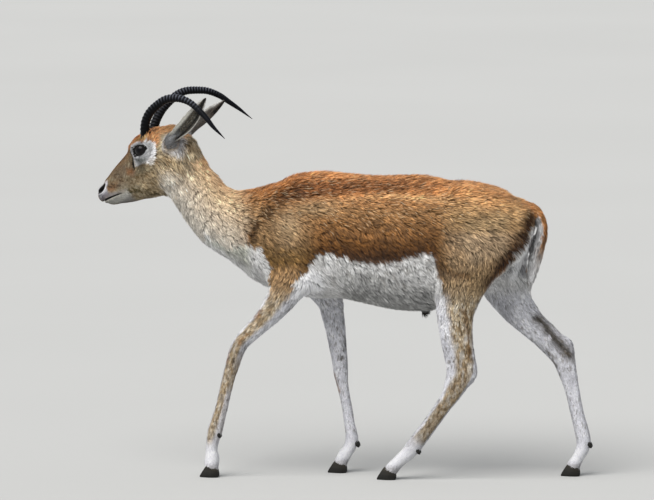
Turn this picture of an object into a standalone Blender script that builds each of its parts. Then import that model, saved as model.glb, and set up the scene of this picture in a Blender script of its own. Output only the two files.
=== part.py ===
"""Young male blackbuck, walking, as one still life-size model.

Metres, +Z up.  The animal faces -X, its left side towards -Y, standing on z = 0.
The flesh is modelled whole out to the tips of the coat, then parted with thin cuts
into the parts a person would name.  Horns, eyes, hooves and dewclaws are their own solids.
"""
import bpy
import bmesh
import math
import numpy as np
from mathutils import Matrix, Vector

NAME = 'blackbuck'
VOXEL = 0.0046          # working fineness of the whole
FLESH_TRIANGLES = 4900  # flesh after simplifying
CUT = 0.0005            # width of a parting cut
GAP = 0.00045           # clearance round eyes and horns
MM = 0.001


def unit(v):
    v = np.asarray(v, dtype=float)
    return v / np.linalg.norm(v)


def curve_through(rows, n):
    rows = np.asarray(rows, dtype=float)
    p = np.vstack([2 * rows[0] - rows[1], rows, 2 * rows[-1] - rows[-2]])
    out = []
    for i in range(1, len(p) - 2):
        a, b, c, d = p[i - 1], p[i], p[i + 1], p[i + 2]
        for j in range(n):
            t = j / n
            out.append(0.5 * (2 * b + (c - a) * t + (2 * a - 5 * b + 4 * c - d) * t * t
                              + (3 * b - a - 3 * c + d) * t ** 3))
    out.append(p[-2])
    return np.array(out)


class Sweep:
    """Tapered limb or trunk: rows of x, y, z, half-width, height above, height below, egg."""

    def __init__(self, name, rows, k, side=(0, 1, 0), n=4, mirror=None):
        self.name, self.k = name, k * MM
        r = curve_through(rows, n)
        self.c = r[:, :3] * MM
        self.r = np.maximum(r[:, 3:6], 0.4) * MM
        self.g = r[:, 6]
        t = np.gradient(self.c, axis=0)
        self.t = t / np.linalg.norm(t, axis=1)[:, None]
        s = np.asarray(side, float)[None, :] - (self.t @ np.asarray(side, float))[:, None] * self.t
        self.s = s / np.linalg.norm(s, axis=1)[:, None]
        self.u = np.cross(self.t, self.s)
        if self.u[len(self.u) // 2, 2] < -1e-6 or (abs(self.u[len(self.u) // 2, 2]) < 0.25
                                                  and self.u[len(self.u) // 2, 0] < 0):
            self.u = -self.u
        self.rad = self.r.max()
        self.lo = (self.c - self.r.max(axis=1)[:, None]).min(axis=0)
        self.hi = (self.c + self.r.max(axis=1)[:, None]).max(axis=0)

    def near(self, p):
        best = np.full(len(p), 1e9)
        seg = np.zeros(len(p), dtype=np.int32)
        par = np.zeros(len(p))
        for j in range(len(self.c) - 1):
            a = self.c[j]
            d = self.c[j + 1] - a
            w = p - a
            t = np.clip(w @ d / (d @ d), 0.0, 1.0)
            q = w - t[:, None] * d
            e = np.einsum('ij,ij->i', q, q)
            m = e < best
            best[m] = e[m]
            seg[m] = j
            par[m] = t[m]
        return seg, par

    def local(self, p):
        j, t = self.near(p)
        t = t[:, None]
        mix = lambda q: q[j] * (1 - t) + q[j + 1] * t
        c, s, u, tt, r = mix(self.c), mix(self.s), mix(self.u), mix(self.t), mix(self.r)
        g = (self.g[j] * (1 - t[:, 0]) + self.g[j + 1] * t[:, 0])
        w = p - c
        return (j + t[:, 0], np.einsum('ij,ij->i', w, s), np.einsum('ij,ij->i', w, u),
                np.einsum('ij,ij->i', w, tt), r, g)

    def dist(self, p):
        _, a, b, c, r, g = self.local(p)
        rb = np.where(b > 0, r[:, 1], r[:, 2])
        ra = r[:, 0] * (1 + g * np.clip(b / rb, -1.0, 1.0))
        rc = np.minimum(ra, rb)
        k0 = np.sqrt((a / ra) ** 2 + (b / rb) ** 2 + (c / rc) ** 2) + 1e-9
        k1 = np.sqrt((a / ra ** 2) ** 2 + (b / rb ** 2) ** 2 + (c / rc ** 2) ** 2) + 1e-9
        return k0 * (k0 - 1) / k1


class Blob:
    """Ellipsoid: centre, three half-sizes, and the directions of the first two."""

    def __init__(self, name, c, r, k, x=(1, 0, 0), y=(0, 1, 0)):
        self.name, self.k = name, k * MM
        self.c = np.asarray(c, float) * MM
        self.r = np.asarray(r, float) * MM
        x = unit(x)
        y = np.asarray(y, float)
        y = unit(y - (y @ x) * x)
        self.m = np.array([x, y, np.cross(x, y)])
        self.lo = self.c - self.r.max()
        self.hi = self.c + self.r.max()

    def dist(self, p):
        q = (p - self.c) @ self.m.T
        k0 = np.linalg.norm(q / self.r, axis=1) + 1e-9
        k1 = np.linalg.norm(q / self.r ** 2, axis=1) + 1e-9
        return k0 * (k0 - 1) / k1


class Leaf:
    """Ear: a cupped leaf on an axis; rows of part of the length, half-width, half-thickness, cup."""

    def __init__(self, name, root, tip, face, rows, k, bend=0.0):
        self.name, self.k = name, k * MM
        self.root = np.asarray(root, float) * MM
        self.tip = np.asarray(tip, float) * MM
        self.len = np.linalg.norm(self.tip - self.root)
        self.a = unit(self.tip - self.root)
        n = np.asarray(face, float)
        self.n = unit(n - (n @ self.a) * self.a)
        self.w = np.cross(self.a, self.n)
        self.bend = bend * MM
        r = curve_through(rows, 5)
        self.f = r[:, 0]
        self.rr = r[:, 1:] * MM
        m = self.rr[:, 0].max() + 0.012
        self.lo = np.minimum(self.root, self.tip) - m
        self.hi = np.maximum(self.root, self.tip) + m

    def local(self, p):
        w = p - self.root
        t = w @ self.a / self.len
        return t, w @ self.w - self.shift(t), w @ self.n

    def shift(self, t):
        return self.bend * 4 * np.clip(t, 0, 1) * (1 - np.clip(t, 0, 1))

    def dist(self, p, thin=1.0, grow=0.0):
        t, b, c = self.local(p)
        tc = np.clip(t, 0.0, 1.0)
        hw = np.interp(tc, self.f, self.rr[:, 0]) + grow
        ht = np.interp(tc, self.f, self.rr[:, 1]) * thin + grow
        cup = np.interp(tc, self.f, self.rr[:, 2])
        mid = cup * np.minimum((b / hw) ** 2, 1.6)
        d = (t - tc) * self.len
        e = c - mid
        k0 = np.sqrt((b / hw) ** 2 + (e / ht) ** 2 + (d / ht) ** 2) + 1e-9
        k1 = np.sqrt((b / hw ** 2) ** 2 + (e / ht ** 2) ** 2 + (d / ht ** 2) ** 2) + 1e-9
        return k0 * (k0 - 1) / k1


def blend(a, b, k):
    h = np.maximum(k - np.abs(a - b), 0.0) / k
    return np.minimum(a, b) - h * h * k * 0.25


# ---------------------------------------------------------------- head frame
HEAD_AT = np.array([-405.0, -4.0, 785.0])
HEAD_PITCH = math.radians(32)
HEAD_YAW = math.radians(17)
cp, sp, cy, sy = math.cos(HEAD_PITCH), math.sin(HEAD_PITCH), math.cos(HEAD_YAW), math.sin(HEAD_YAW)
HEAD_F = np.array([-cp * cy, cp * sy, -sp])
HEAD_S = np.array([-sy, -cy, 0.0])
HEAD_H = np.array([-sp * cy, sp * sy, cp])


def head_point(f, s, h):
    return HEAD_AT + f * HEAD_F + s * HEAD_S + h * HEAD_H


def head_rows(rows):
    return [tuple(head_point(f, 0, h)) + (w, up, dn, g) for f, h, w, up, dn, g in rows]


# ---------------------------------------------------------------- named sizes, mm
TRUNK = [
    (-206, 0, 580, 72, 98, 98, 0.00),
    (-165, 0, 580, 88, 123, 128, -0.04),
    (-111, 0, 580, 98, 147, 149, -0.10),
    (-63, 0, 581, 106, 155, 155, -0.12),
    (-2, 0, 579, 113, 153, 153, -0.10),
    (58, 0, 573, 119, 155, 158, -0.08),
    (125, 0, 568, 123, 161, 167, -0.06),
    (191, 0, 566, 119, 163, 167, -0.04),
    (251, 0, 572, 110, 151, 154, 0.00),
    (311, 0, 586, 102, 131, 128, 0.04),
    (364, 0, 600, 90, 103, 98, 0.06),
    (400, 0, 609, 70, 79, 74, 0.05),
    (424, 0, 618, 30, 54, 38, 0.00)]

NECK = [
    (-429, 2, 760, 38, 56, 50, -0.04),
    (-411, 0, 742, 42, 61, 58, -0.06),
    (-389, 0, 716, 46, 63, 61, -0.08),
    (-362, 0, 684, 50, 66, 63, -0.10),
    (-334, 0, 649, 56, 69, 68, -0.10),
    (-297, 0, 620, 66, 77, 80, -0.08),
    (-250, 0, 602, 77, 90, 92, -0.08),
    (-205, 0, 592, 86, 108, 104, -0.06)]

#            f    h    w   up  down  egg
HEAD = [
    (-21, 2, 31, 26, 44, 0.0),
    (-11, 2, 39, 39, 65, -0.02),
    (6, 0, 45, 61, 76, 0.02),
    (30, -2, 46, 74, 79, 0.10),
    (54, -3, 44, 80, 81, 0.12),
    (76, -3, 40, 82, 80, 0.10),
    (96, -4, 37, 75, 75, 0.06),
    (115, -5, 34, 64, 67, 0.0),
    (140, -5, 30, 56, 56, 0.0),
    (165, -5, 27.5, 49, 48, 0.0),
    (190, -5, 25.5, 40, 38, 0.0),
    (208, -5, 23, 33, 29, 0.0),
    (222, -3, 19, 25, 20, 0.0),
    (231, -1, 13, 15, 12, 0.0)]

TAIL = [
    (420, 0, 649, 22, 21, 18, 0),
    (442, 0, 648, 20, 18, 16, 0),
    (460, 0, 635, 18, 14, 13, 0),
    (470, 0, 613, 18, 15, 12, 0),
    (473, 0, 586, 18, 23, 10.5, 0),
    (467, 0, 556, 18, 26, 10.5, 0),
    (459, 0, 524, 17, 24, 10.5, 0),
    (450, 0, 491, 13, 16, 9, 0),
    (441, 0, 458, 5, 4.5, 4, 0)]

# x, y, z, half-width, half-depth in front, behind
LEG_FL = [
    (-122, -68, 480, 34, 50, 50, 0),
    (-151, -71, 432, 29, 37, 38, 0),
    (-180, -70, 392, 24, 28, 28, 0),
    (-215, -68, 357, 20.5, 23, 23, 0),
    (-243, -66, 328, 18.5, 20.5, 20.5, 0),
    (-257, -65, 301, 18.5, 19, 19, 0),
    (-266, -64, 273, 18, 17.5, 18, 0),
    (-276, -62, 241, 15, 16, 16.5, 0),
    (-285, -61, 204, 13.5, 15.5, 16, 0),
    (-294, -60, 167, 13.5, 15.5, 16.5, 0),
    (-303, -58, 137, 15, 16.5, 18, 0),
    (-311, -57, 109, 17.5, 18, 19.5, 0),
    (-316, -56, 84, 17, 15.5, 16, 0),
    (-318, -56, 64, 17.5, 14.5, 15, 0),
    (-317, -56, 45, 20, 18, 18, 0),
    (-319, -56, 20, 20, 18, 18, 0)]

LEG_FR = [
    (-105, 66, 510, 34, 56, 56, 0),
    (-72, 68, 458, 30, 44, 44, 0),
    (-47, 69, 415, 26, 34, 33, 0),
    (-40, 68, 386, 23, 29, 29, 0),
    (-33, 66, 348, 20, 26, 25, 0),
    (-27, 64, 307, 18.5, 22.5, 22, 0),
    (-22, 63, 271, 18, 20.5, 19.5, 0),
    (-19, 62, 242, 17.5, 18.5, 18, 0),
    (-15, 60, 218, 15, 15, 16, 0),
    (-11, 60, 196, 13.5, 13.5, 14, 0),
    (-6, 59, 172, 13, 13, 13.5, 0),
    (-1, 58, 146, 13, 13, 13.5, 0),
    (2, 57, 124, 13.5, 13, 14, 0),
    (7, 56, 100, 15, 14, 15, 0),
    (9, 55, 80, 17, 15.5, 17, 0),
    (3, 54, 60, 17.5, 15, 16, 0),
    (-11, 54, 39, 20, 17, 17, 0),
    (-22, 54, 16, 20, 17, 17, 0)]

LEG_HL = [
    (300, -62, 545, 44, 84, 80, 0),
    (284, -70, 484, 40, 70, 66, 0),
    (276, -74, 443, 34, 58, 55, 0),
    (272, -74, 407, 28, 50, 45, 0),
    (273, -72, 375, 24, 46, 39, 0),
    (276, -70, 343, 21, 44, 36, 0),
    (281, -67, 309, 18.5, 42, 34, 0),
    (284, -65, 283, 17.5, 40, 34, 0),
    (281, -63, 256, 17.5, 36, 32, 0),
    (268, -61, 226, 16.5, 29, 27, 0),
    (255, -60, 202, 15.5, 22.5, 22.5, 0),
    (241, -59, 182, 15, 20, 20, 0),
    (225, -58, 159, 15, 19, 19.5, 0),
    (207, -57, 134, 15, 18.5, 19.5, 0),
    (188, -56, 108, 16.5, 19, 20, 0),
    (171, -55, 86, 18, 19, 20.5, 0),
    (153, -54, 63, 17.5, 17, 18.5, 0),
    (134, -54, 45, 18, 15.5, 16, 0),
    (118, -54, 28, 20, 17, 17, 0),
    (106, -54, 12, 20, 17, 17, 0)]

LEG_HR = [
    (352, 62, 545, 44, 84, 80, 0),
    (363, 68, 500, 40, 70, 70, 0),
    (378, 72, 455, 34, 58, 60, 0),
    (400, 73, 412, 27, 46, 47, 0),
    (421, 71, 385, 24, 40, 40, 0),
    (443, 69, 362, 21, 35, 35, 0),
    (467, 67, 342, 19, 33, 34, 0),
    (490, 64, 321, 18, 31, 34, 0),
    (508, 63, 300, 17.5, 30, 32, 0),
    (520, 61, 277, 17, 27, 28, 0),
    (527, 60, 252, 16, 23.5, 24, 0),
    (535, 59, 224, 15, 19.5, 20, 0),
    (542, 58, 195, 14.5, 17.5, 18, 0),
    (548, 57, 168, 14.5, 16.5, 17.5, 0),
    (554, 56, 143, 15, 16.5, 17.5, 0),
    (562, 55, 113, 17, 17, 18.5, 0),
    (568, 55, 88, 17.5, 17, 19, 0),
    (566, 54, 67, 17, 15.5, 17.5, 0),
    (555, 54, 45, 18, 14.5, 15.5, 0),
    (545, 54, 28, 20, 17, 17, 0),
    (538, 54, 12, 20, 17, 17, 0)]

#        part of length, half-width, half-thickness, cup
EAR = [(0.00, 12, 11, 0), (0.12, 14, 9, 2), (0.30, 18.5, 5.2, 8), (0.50, 21, 4.3, 9),
       (0.70, 18.5, 4.0, 8), (0.86, 12.5, 3.8, 5), (0.95, 7.5, 3.6, 2), (1.00, 4.0, 3.2, 0)]
EAR_L = ((-416, -43, 804), (-330, -68, 909), (-0.50, -0.85, 0.20))
EAR_R = ((-392, 33, 811), (-302, 70, 893), (-0.22, 0.62, 0.75))

EYE_R = 18.0
EYE_L_AT = (68.5, 32.0, 38)
EYE_R_AT = (68.5, -32.0, 38)

HORN_L = [(-479, -20, 806, 12.2), (-481, -23, 828, 12.0), (-478, -28, 851, 11.5), (-467, -36, 873, 11.2),
          (-449, -45, 891, 10.8), (-428, -56, 905, 10.4), (-408, -67, 910, 10.0), (-388, -78, 910, 9.4),
          (-365, -89, 902, 8.4), (-344, -99, 887, 7.7), (-324, -107, 868, 6.6), (-304, -114, 845, 4.6),
          (-277, -120, 819, 0.8)]
HORN_R = [(-465, 18, 810, 12.2), (-464, 22, 834, 12.0), (-459, 27, 852, 11.5), (-448, 35, 873, 11.2),
          (-432, 44, 892, 10.8), (-414, 55, 908, 10.4), (-393, 66, 917, 9.9), (-368, 78, 918, 9.4),
          (-342, 90, 915, 8.6), (-317, 101, 904, 7.6), (-296, 110, 889, 6.4), (-273, 118, 872, 4.6),
          (-240, 126, 846, 0.8)]

FEET = {'fl': (-322, -56), 'fr': (-25, 54), 'hl': (104, -54), 'hr': (537, 54)}
FETLOCK = {'fl': (-300, -57, 103), 'fr': (22, 56, 70), 'hl': (179, -55, 70), 'hr': (582, 55, 76)}


def flesh():
    out = [Sweep('trunk', TRUNK, 30), Sweep('neck', NECK, 34)]
    for name, sg in (('l', -1), ('r', 1)):
        out += [
            Blob('shoulder_' + name, (-152, sg * 50, 618), (112, 40, 58), 34, (-0.42, sg * 0.22, -0.88)),
            Blob('arm_' + name, (-158, sg * 62, 520), (70, 34, 52), 30, (0.80, 0, -0.55)),
            Blob('hip_' + name, (288, sg * 56, 672), (40, 30, 30), 50),
            Blob('thigh_' + name, (318 if sg < 0 else 338, sg * 54, 575), (120, 50, 88), 36,
                 (0.42, -sg * 0.05, 0.90) if sg < 0 else (0.12, -sg * 0.05, 0.99)),
            Blob('buttock_' + name, (396, sg * 41, 580), (84, 42, 42), 30, (0.50, -sg * 0.14, 0.85)),
            Blob('pin_' + name, (402, sg * 34, 626), (33, 27, 36), 34)]
    out += [
        Blob('stifle_l', (246, -72, 508), (52, 34, 38), 30, (0.2, 0, 1)),
        Blob('stifle_r', (300, 70, 508), (52, 34, 40), 30, (-0.1, 0, 1)),
        Blob('brisket', (-190, 0, 500), (50, 46, 38), 34, (0.6, 0, -0.8)),
        Blob('sheath', (187, 0, 397), (12, 11, 14), 9),
        Blob('poll', (-364, 0, 759), (36, 29, 22), 20, (0.52, 0, -0.855)),
        Blob('hock_l', (303, -63, 260), (13, 11, 18), 9, (1, 0, 0), (0, 1, 0)),
        Blob('hock_r', (524, 63, 311), (13, 11, 18), 9, (1, 0, 0), (0, 1, 0)),
        Sweep('leg_fl', LEG_FL, 24), Sweep('leg_fr', LEG_FR, 24),
        Sweep('leg_hl', LEG_HL, 26), Sweep('leg_hr', LEG_HR, 26),
        Sweep('tail', TAIL, 9)]
    return out


def head_flesh():
    out = [Sweep('head', head_rows(HEAD), 22, side=tuple(-HEAD_S))]
    for name, sg in (('l', 1), ('r', -1)):
        out += [
            Blob('brow_' + name, head_point(75, sg * 29, 55), (27, 15, 15), 12, HEAD_F, HEAD_S),
            Blob('orbit_' + name, head_point(70, sg * 28, 30), (30, 15, 26), 12, HEAD_F, HEAD_S),
            Blob('cheek_' + name, head_point(40, sg * 32, -22), (50, 15, 46), 28, HEAD_F, HEAD_S),
            Blob('nose_' + name, head_point(221, sg * 10, 9), (13, 9, 12), 8, HEAD_F, HEAD_S),
            Blob('lip_' + name, head_point(206, sg * 15, -12), (22, 10, 13), 10, HEAD_F, HEAD_S),
            Blob('earbase_' + name, head_point(-14, sg * 34, 20), (17, 14, 17), 12, HEAD_F, HEAD_S)]
    for name, base in (('l', HORN_L), ('r', HORN_R)):
        out.append(Blob('horn_root_' + name, (base[0][0] + 3, base[0][1], base[0][2] - 1), (19, 19, 25), 14))
    out += [Blob('chin', head_point(199, 0, -22), (23, 15, 9), 10, HEAD_F, HEAD_S),
            Blob('crown', head_point(12, 0, 43), (38, 33, 22), 22, HEAD_F, HEAD_S)]
    return out


def ears():
    return [Leaf('ear_l', *EAR_L, EAR, 10, 11), Leaf('ear_r', *EAR_R, EAR, 10, -8)]


def field(p, parts, start=None):
    f = np.full(len(p), 0.2) if start is None else start
    for q in parts:
        pad = 0.03 + 2.2 * q.k
        m = np.all((p > q.lo - pad) & (p < q.hi + pad), axis=1)
        i = np.nonzero(m)[0]
        if len(i):
            f[i] = blend(f[i], q.dist(p[i]), q.k)
    return f


def settle(p, fn, steps=4, lim=0.02, eps=0.0006):
    """Moves points to where fn is zero, along its slope."""
    for _ in range(steps):
        f = fn(p)
        g = np.stack([fn(p + d) - fn(p - d) for d in np.eye(3) * eps], axis=1) / (2 * eps)
        n = np.maximum(np.einsum('ij,ij->i', g, g), 0.15)
        p = p - np.clip(f / n, -lim, lim)[:, None] * g
    return p


# ---------------------------------------------------------------- making solids
for ob in list(bpy.data.objects):
    bpy.data.objects.remove(ob, do_unlink=True)

scene = bpy.context.scene
scene.unit_settings.system = 'METRIC'
PARTS = bpy.data.collections.new(NAME)
CUTTERS = bpy.data.collections.new('cutters')
scene.collection.children.link(PARTS)
scene.collection.children.link(CUTTERS)


def material(name, rgb, rough):
    m = bpy.data.materials.new(name)
    m.use_nodes = True
    b = m.node_tree.nodes['Principled BSDF']
    b.inputs['Base Color'].default_value = (*rgb, 1)
    b.inputs['Roughness'].default_value = rough
    m.diffuse_color = (*rgb, 1)
    return m


def new_object(name, verts, faces, coll=None):
    me = bpy.data.meshes.new(name)
    me.from_pydata([tuple(v) for v in verts], [], faces)
    ob = bpy.data.objects.new(name, me)
    (coll or PARTS).objects.link(ob)
    bm = bmesh.new()
    bm.from_mesh(me)
    bmesh.ops.recalc_face_normals(bm, faces=bm.faces)
    bm.to_mesh(me)
    bm.free()
    return ob


def as_cutter(ob):
    for c in list(ob.users_collection):
        c.objects.unlink(ob)
    CUTTERS.objects.link(ob)
    ob.hide_render = True
    ob.display_type = 'WIRE'
    return ob


def loft(rings):
    """Closed tube through rings with the same number of points."""
    n = len(rings[0])
    verts = [p for ring in rings for p in ring]
    faces = [list(range(n))[::-1], [len(verts) - n + i for i in range(n)]]
    for j in range(len(rings) - 1):
        for i in range(n):
            a, b = j * n + i, j * n + (i + 1) % n
            faces.append([a, b, b + n, a + n])
    return verts, faces


def tube_of(sweep, n=14, grow=0.0):
    rings = []
    last = len(sweep.c) - 1
    for j in range(last + 1):
        ring = []
        for i in range(n):
            t = 2 * math.pi * i / n
            up = (sweep.r[j, 1] if math.sin(t) > 0 else sweep.r[j, 2]) + grow
            side = sweep.r[j, 0] * (1 + sweep.g[j] * math.sin(t)) + grow
            end = -grow if j == 0 else grow if j == last else 0.0
            ring.append(sweep.c[j] + sweep.t[j] * end + sweep.s[j] * side * math.cos(t) + sweep.u[j] * up * math.sin(t))
        rings.append(ring)
    return loft(rings)


def leaf_of(leaf, n=10, grow=0.0, first=0, last=None):
    """Cupped ear through its named stations."""
    rows = np.asarray(EAR, float)[first:last]
    rings = []
    for j, (f, hw, ht, cup) in enumerate(rows):
        hw, ht, cup = hw * MM + grow, ht * MM + grow, cup * MM
        at = leaf.root + leaf.a * (leaf.len * f - (grow * 1.5 if j == 0 else 0)) + leaf.w * leaf.shift(f)
        ring = []
        for i in range(n):
            t = 2 * math.pi * (i + 0.5) / n
            ring.append(at + leaf.w * hw * math.cos(t) + leaf.n * (cup * math.cos(t) ** 2 + ht * math.sin(t)))
        rings.append(ring)
    return loft(rings)


def ball(name, centre, r, axes=None, u=16, v=10):
    bm = bmesh.new()
    bmesh.ops.create_uvsphere(bm, u_segments=u, v_segments=v, radius=1.0)
    rot = Matrix(axes).transposed().to_4x4() if axes is not None else Matrix.Identity(4)
    bm.transform(Matrix.Translation(Vector(centre)) @ rot @ Matrix.Diagonal((*r, 1)))
    bm.normal_update()
    if bm.calc_volume(signed=True) < 0:
        bmesh.ops.reverse_faces(bm, faces=bm.faces)
    me = bpy.data.meshes.new(name)
    bm.to_mesh(me)
    bm.free()
    ob = bpy.data.objects.new(name, me)
    PARTS.objects.link(ob)
    return ob


def baked(ob):
    dg = bpy.context.evaluated_depsgraph_get()
    me = bpy.data.meshes.new_from_object(ob.evaluated_get(dg))
    old = ob.data
    ob.modifiers.clear()
    ob.data = me
    bpy.data.meshes.remove(old)
    return ob


def cut_with(ob, cutter, op='DIFFERENCE'):
    m = ob.modifiers.new('cut', 'BOOLEAN')
    m.operation = op
    m.solver = 'EXACT'
    m.object = cutter
    baked(ob)
    print('cut', cutter.name, len(ob.data.polygons))
    return ob


def joined(name, meshes, coll=None):
    verts, faces, at = [], [], 0
    for v, f in meshes:
        verts += list(v)
        faces += [[i + at for i in q] for q in f]
        at = len(verts)
    return new_object(name, verts, faces, coll)


def coords(ob):
    p = np.empty(len(ob.data.vertices) * 3)
    ob.data.vertices.foreach_get('co', p)
    return p.reshape(-1, 3)


def set_coords(ob, p):
    ob.data.vertices.foreach_set('co', np.ascontiguousarray(p).ravel())
    ob.data.update()


def smoothed(ob, p, turns, rate):
    e = np.empty(len(ob.data.edges) * 2, dtype=np.int32)
    ob.data.edges.foreach_get('vertices', e)
    e = e.reshape(-1, 2)
    deg = np.bincount(e.ravel(), minlength=len(p))[:, None]
    for _ in range(turns):
        s = np.zeros_like(p)
        for k in range(3):
            s[:, k] = np.bincount(e[:, 0], p[e[:, 1], k], len(p)) + np.bincount(e[:, 1], p[e[:, 0], k], len(p))
        p = p + rate * (s / deg - p)
    return p


# ---------------------------------------------------------------- the flesh, whole
BODY = [q for q in flesh() if q.name != 'tail'] + head_flesh()


def body(p):
    return field(p, BODY)


shapes = []
for q in BODY:
    if isinstance(q, Sweep):
        shapes.append(tube_of(q))
whole = joined('whole', shapes)
for q in BODY:
    if isinstance(q, Blob):
        b = ball('b', q.c, q.r * 0.98, axes=[tuple(a) for a in q.m])
        bm = bmesh.new()
        bm.from_mesh(whole.data)
        bm.from_mesh(b.data)
        bm.to_mesh(whole.data)
        bm.free()
        bpy.data.objects.remove(b, do_unlink=True)
m = whole.modifiers.new('whole', 'REMESH')
m.mode = 'VOXEL'
m.voxel_size = VOXEL
baked(whole)

pts = coords(whole)
pts = smoothed(whole, pts, 3, 0.5)
pts = settle(pts, body, 5, 0.012)
pts = smoothed(whole, pts, 2, 0.4)
pts = settle(pts, body, 2, 0.006)
set_coords(whole, pts)
print('whole', len(whole.data.vertices))

m = whole.modifiers.new('simplify', 'DECIMATE')
m.ratio = FLESH_TRIANGLES / sum(len(q.vertices) - 2 for q in whole.data.polygons)
m.use_collapse_triangulate = True
baked(whole)
pts = settle(coords(whole), body, 2, 0.003)
set_coords(whole, pts)
print('simplified', sum(len(q.vertices) - 2 for q in whole.data.polygons))


# ---------------------------------------------------------------- hooves
def claw(foot, side, inner):
    """One claw of a hoof: flat sole, pointed toe, top sloping down to the heel."""
    fx, fy = FEET[foot]
    n = 9
    rings = []
    #          height front, height heel, toe, heel, half-width
    for zf, zh, toe, heel, w in ((0, 0, -23.5, 21, 8.6), (3, 3, -24.0, 21.8, 9.4),
                                 (15, 11, -15.5, 21.5, 9.3), (HOOF_TOP[0], HOOF_TOP[1], -4.5, 18.5, 8.6)):
        ring = []
        for i in range(n):
            t = 2 * math.pi * i / n
            c, s = math.cos(t), math.sin(t)
            x = (toe + heel) / 2 + (heel - toe) / 2 * c
            k = (1 - c) / 2
            y = w * s * (1 - 0.72 * k ** 2.2) * (1.0 if s * inner > 0 else 1.0)
            y += inner * 1.5 * k ** 2 * (toe / -24.0)
            z = zf + (zh - zf) * (x + 4.5) / 23.0 if zf > 3 else zf
            ring.append(np.array([fx + x, fy + side * 10.1 + y, z]) * MM)
        rings.append(ring)
    v, f = loft(rings)
    return new_object('hoof_%s_%s' % (foot, 'out' if side * (1 if foot[1] == 'r' else -1) > 0 else 'in'), v, f)


HOOF_TOP = (31.0, 20.0)
SOLIDS = {}
for foot in FEET:
    for side in (-1, 1):
        ob = claw(foot, side, -side)
        SOLIDS[ob.name] = ob

# flesh ends just above the hooves
for foot, (fx, fy) in FEET.items():
    x0, x1 = -42.0, 44.0
    slope = (HOOF_TOP[1] - HOOF_TOP[0]) / 23.0
    z0 = HOOF_TOP[0] + slope * (x0 + 4.5) + 0.6
    z1 = HOOF_TOP[0] + slope * (x1 + 4.5) + 0.6
    y0, y1 = fy - 42, fy + 42
    rings = [[(fx + x0, y0, -60), (fx + x0, y1, -60), (fx + x1, y1, -60), (fx + x1, y0, -60)],
             [(fx + x0, y0, z0), (fx + x0, y1, z0), (fx + x1, y1, z1), (fx + x1, y0, z1)]]
    v, f = loft([[np.array(p) * MM for p in r] for r in rings])
    c = as_cutter(new_object('floor_' + foot, v, f))
    cut_with(whole, c)

# ---------------------------------------------------------------- dewclaws
for foot, (x, y, z) in FETLOCK.items():
    for side in (-1, 1):
        name = 'dewclaw_%s_%s' % (foot, 'out' if side * (1 if foot[1] == 'r' else -1) > 0 else 'in')
        at = np.array([x, y + side * 9.5, z]) * MM
        tilt = unit((0.55, side * 0.25, -0.8))
        ax = [tuple(tilt), tuple(unit(np.cross((0, 1, 0), tilt)))]
        ax.append(tuple(np.cross(ax[0], ax[1])))
        r = np.array([9.5, 6.0, 6.2]) * MM
        SOLIDS[name] = ball(name, at, r, ax, 6, 5)
        c = as_cutter(ball('c_' + name, at, r + GAP * 1.5, ax, 6, 5))
        cut_with(whole, c)

# ---------------------------------------------------------------- eyes
for name, at in (('eye_l', EYE_L_AT), ('eye_r', EYE_R_AT)):
    c = head_point(*at) * MM
    SOLIDS[name] = ball(name, c, [EYE_R * MM] * 3, [tuple(HEAD_F), tuple(HEAD_H), tuple(HEAD_S)], 12, 7)
    k = as_cutter(ball('c_' + name, c, [EYE_R * MM + GAP * 1.6] * 3,
                       [tuple(HEAD_F), tuple(HEAD_H), tuple(HEAD_S)], 12, 7))
    cut_with(whole, k)


# ---------------------------------------------------------------- ears
for q in ears():
    SOLIDS[q.name] = new_object(q.name, *leaf_of(q))
    cut_with(whole, as_cutter(new_object('c_' + q.name, *leaf_of(q, grow=GAP * 1.4, last=4))))


# ---------------------------------------------------------------- tail
tail = Sweep('tail', TAIL, 7, n=1)
SOLIDS['tail'] = new_object('tail', *tube_of(tail, 10))
cut_with(whole, as_cutter(new_object('c_tail', *tube_of(tail, 10, GAP * 3.4))))


# ---------------------------------------------------------------- horns
def horn(name, rows, grow, n, start=0.0):
    r = np.asarray(rows, float)
    c = r[:, :3]
    t = np.gradient(c, axis=0)
    t /= np.linalg.norm(t, axis=1)[:, None]
    up = unit(np.cross(t[0], (0, 1, 0)))
    rings = []
    for j in range(len(c)):
        up = unit(up - (up @ t[j]) * t[j])
        w = np.cross(t[j], up)
        rad = r[j, 3] + grow
        at = c[j] - (t[j] * grow * 1.6 if j == 0 else 0)
        rings.append([(at + rad * (math.cos(2 * math.pi * i / n) * up
                                   + 0.94 * math.sin(2 * math.pi * i / n) * w)) * MM for i in range(n)])
    v, f = loft(rings)
    return new_object(name, v, f)


for name, rows in (('horn_l', HORN_L), ('horn_r', HORN_R)):
    SOLIDS[name] = horn(name, rows, 0.0, 8)
    c = as_cutter(horn('c_' + name, rows[:4], GAP / MM * 1.6, 8))
    cut_with(whole, c)


# ---------------------------------------------------------------- parting cuts
CUT_PLANES = []


def plate(centre, normal, across, along, half_a, half_b):
    """Thin plate: its normal, its first in-plane direction, and half-sizes."""
    n = unit(normal)
    a = np.asarray(across, float)
    a = unit(a - (a @ n) * n)
    b = np.cross(n, a)
    c = np.asarray(centre, float)
    t = CUT / MM / 2
    CUT_PLANES.append((c * MM, n, 0.0045 if half_a > 50 else 0.0025))
    ring = lambda k: [(c + k * n * t + sa * half_a * a + sb * half_b * b) * MM
                      for sa, sb in ((-1, -1), (1, -1), (1, 1), (-1, 1))]
    return loft([ring(-1), ring(1)])


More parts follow.
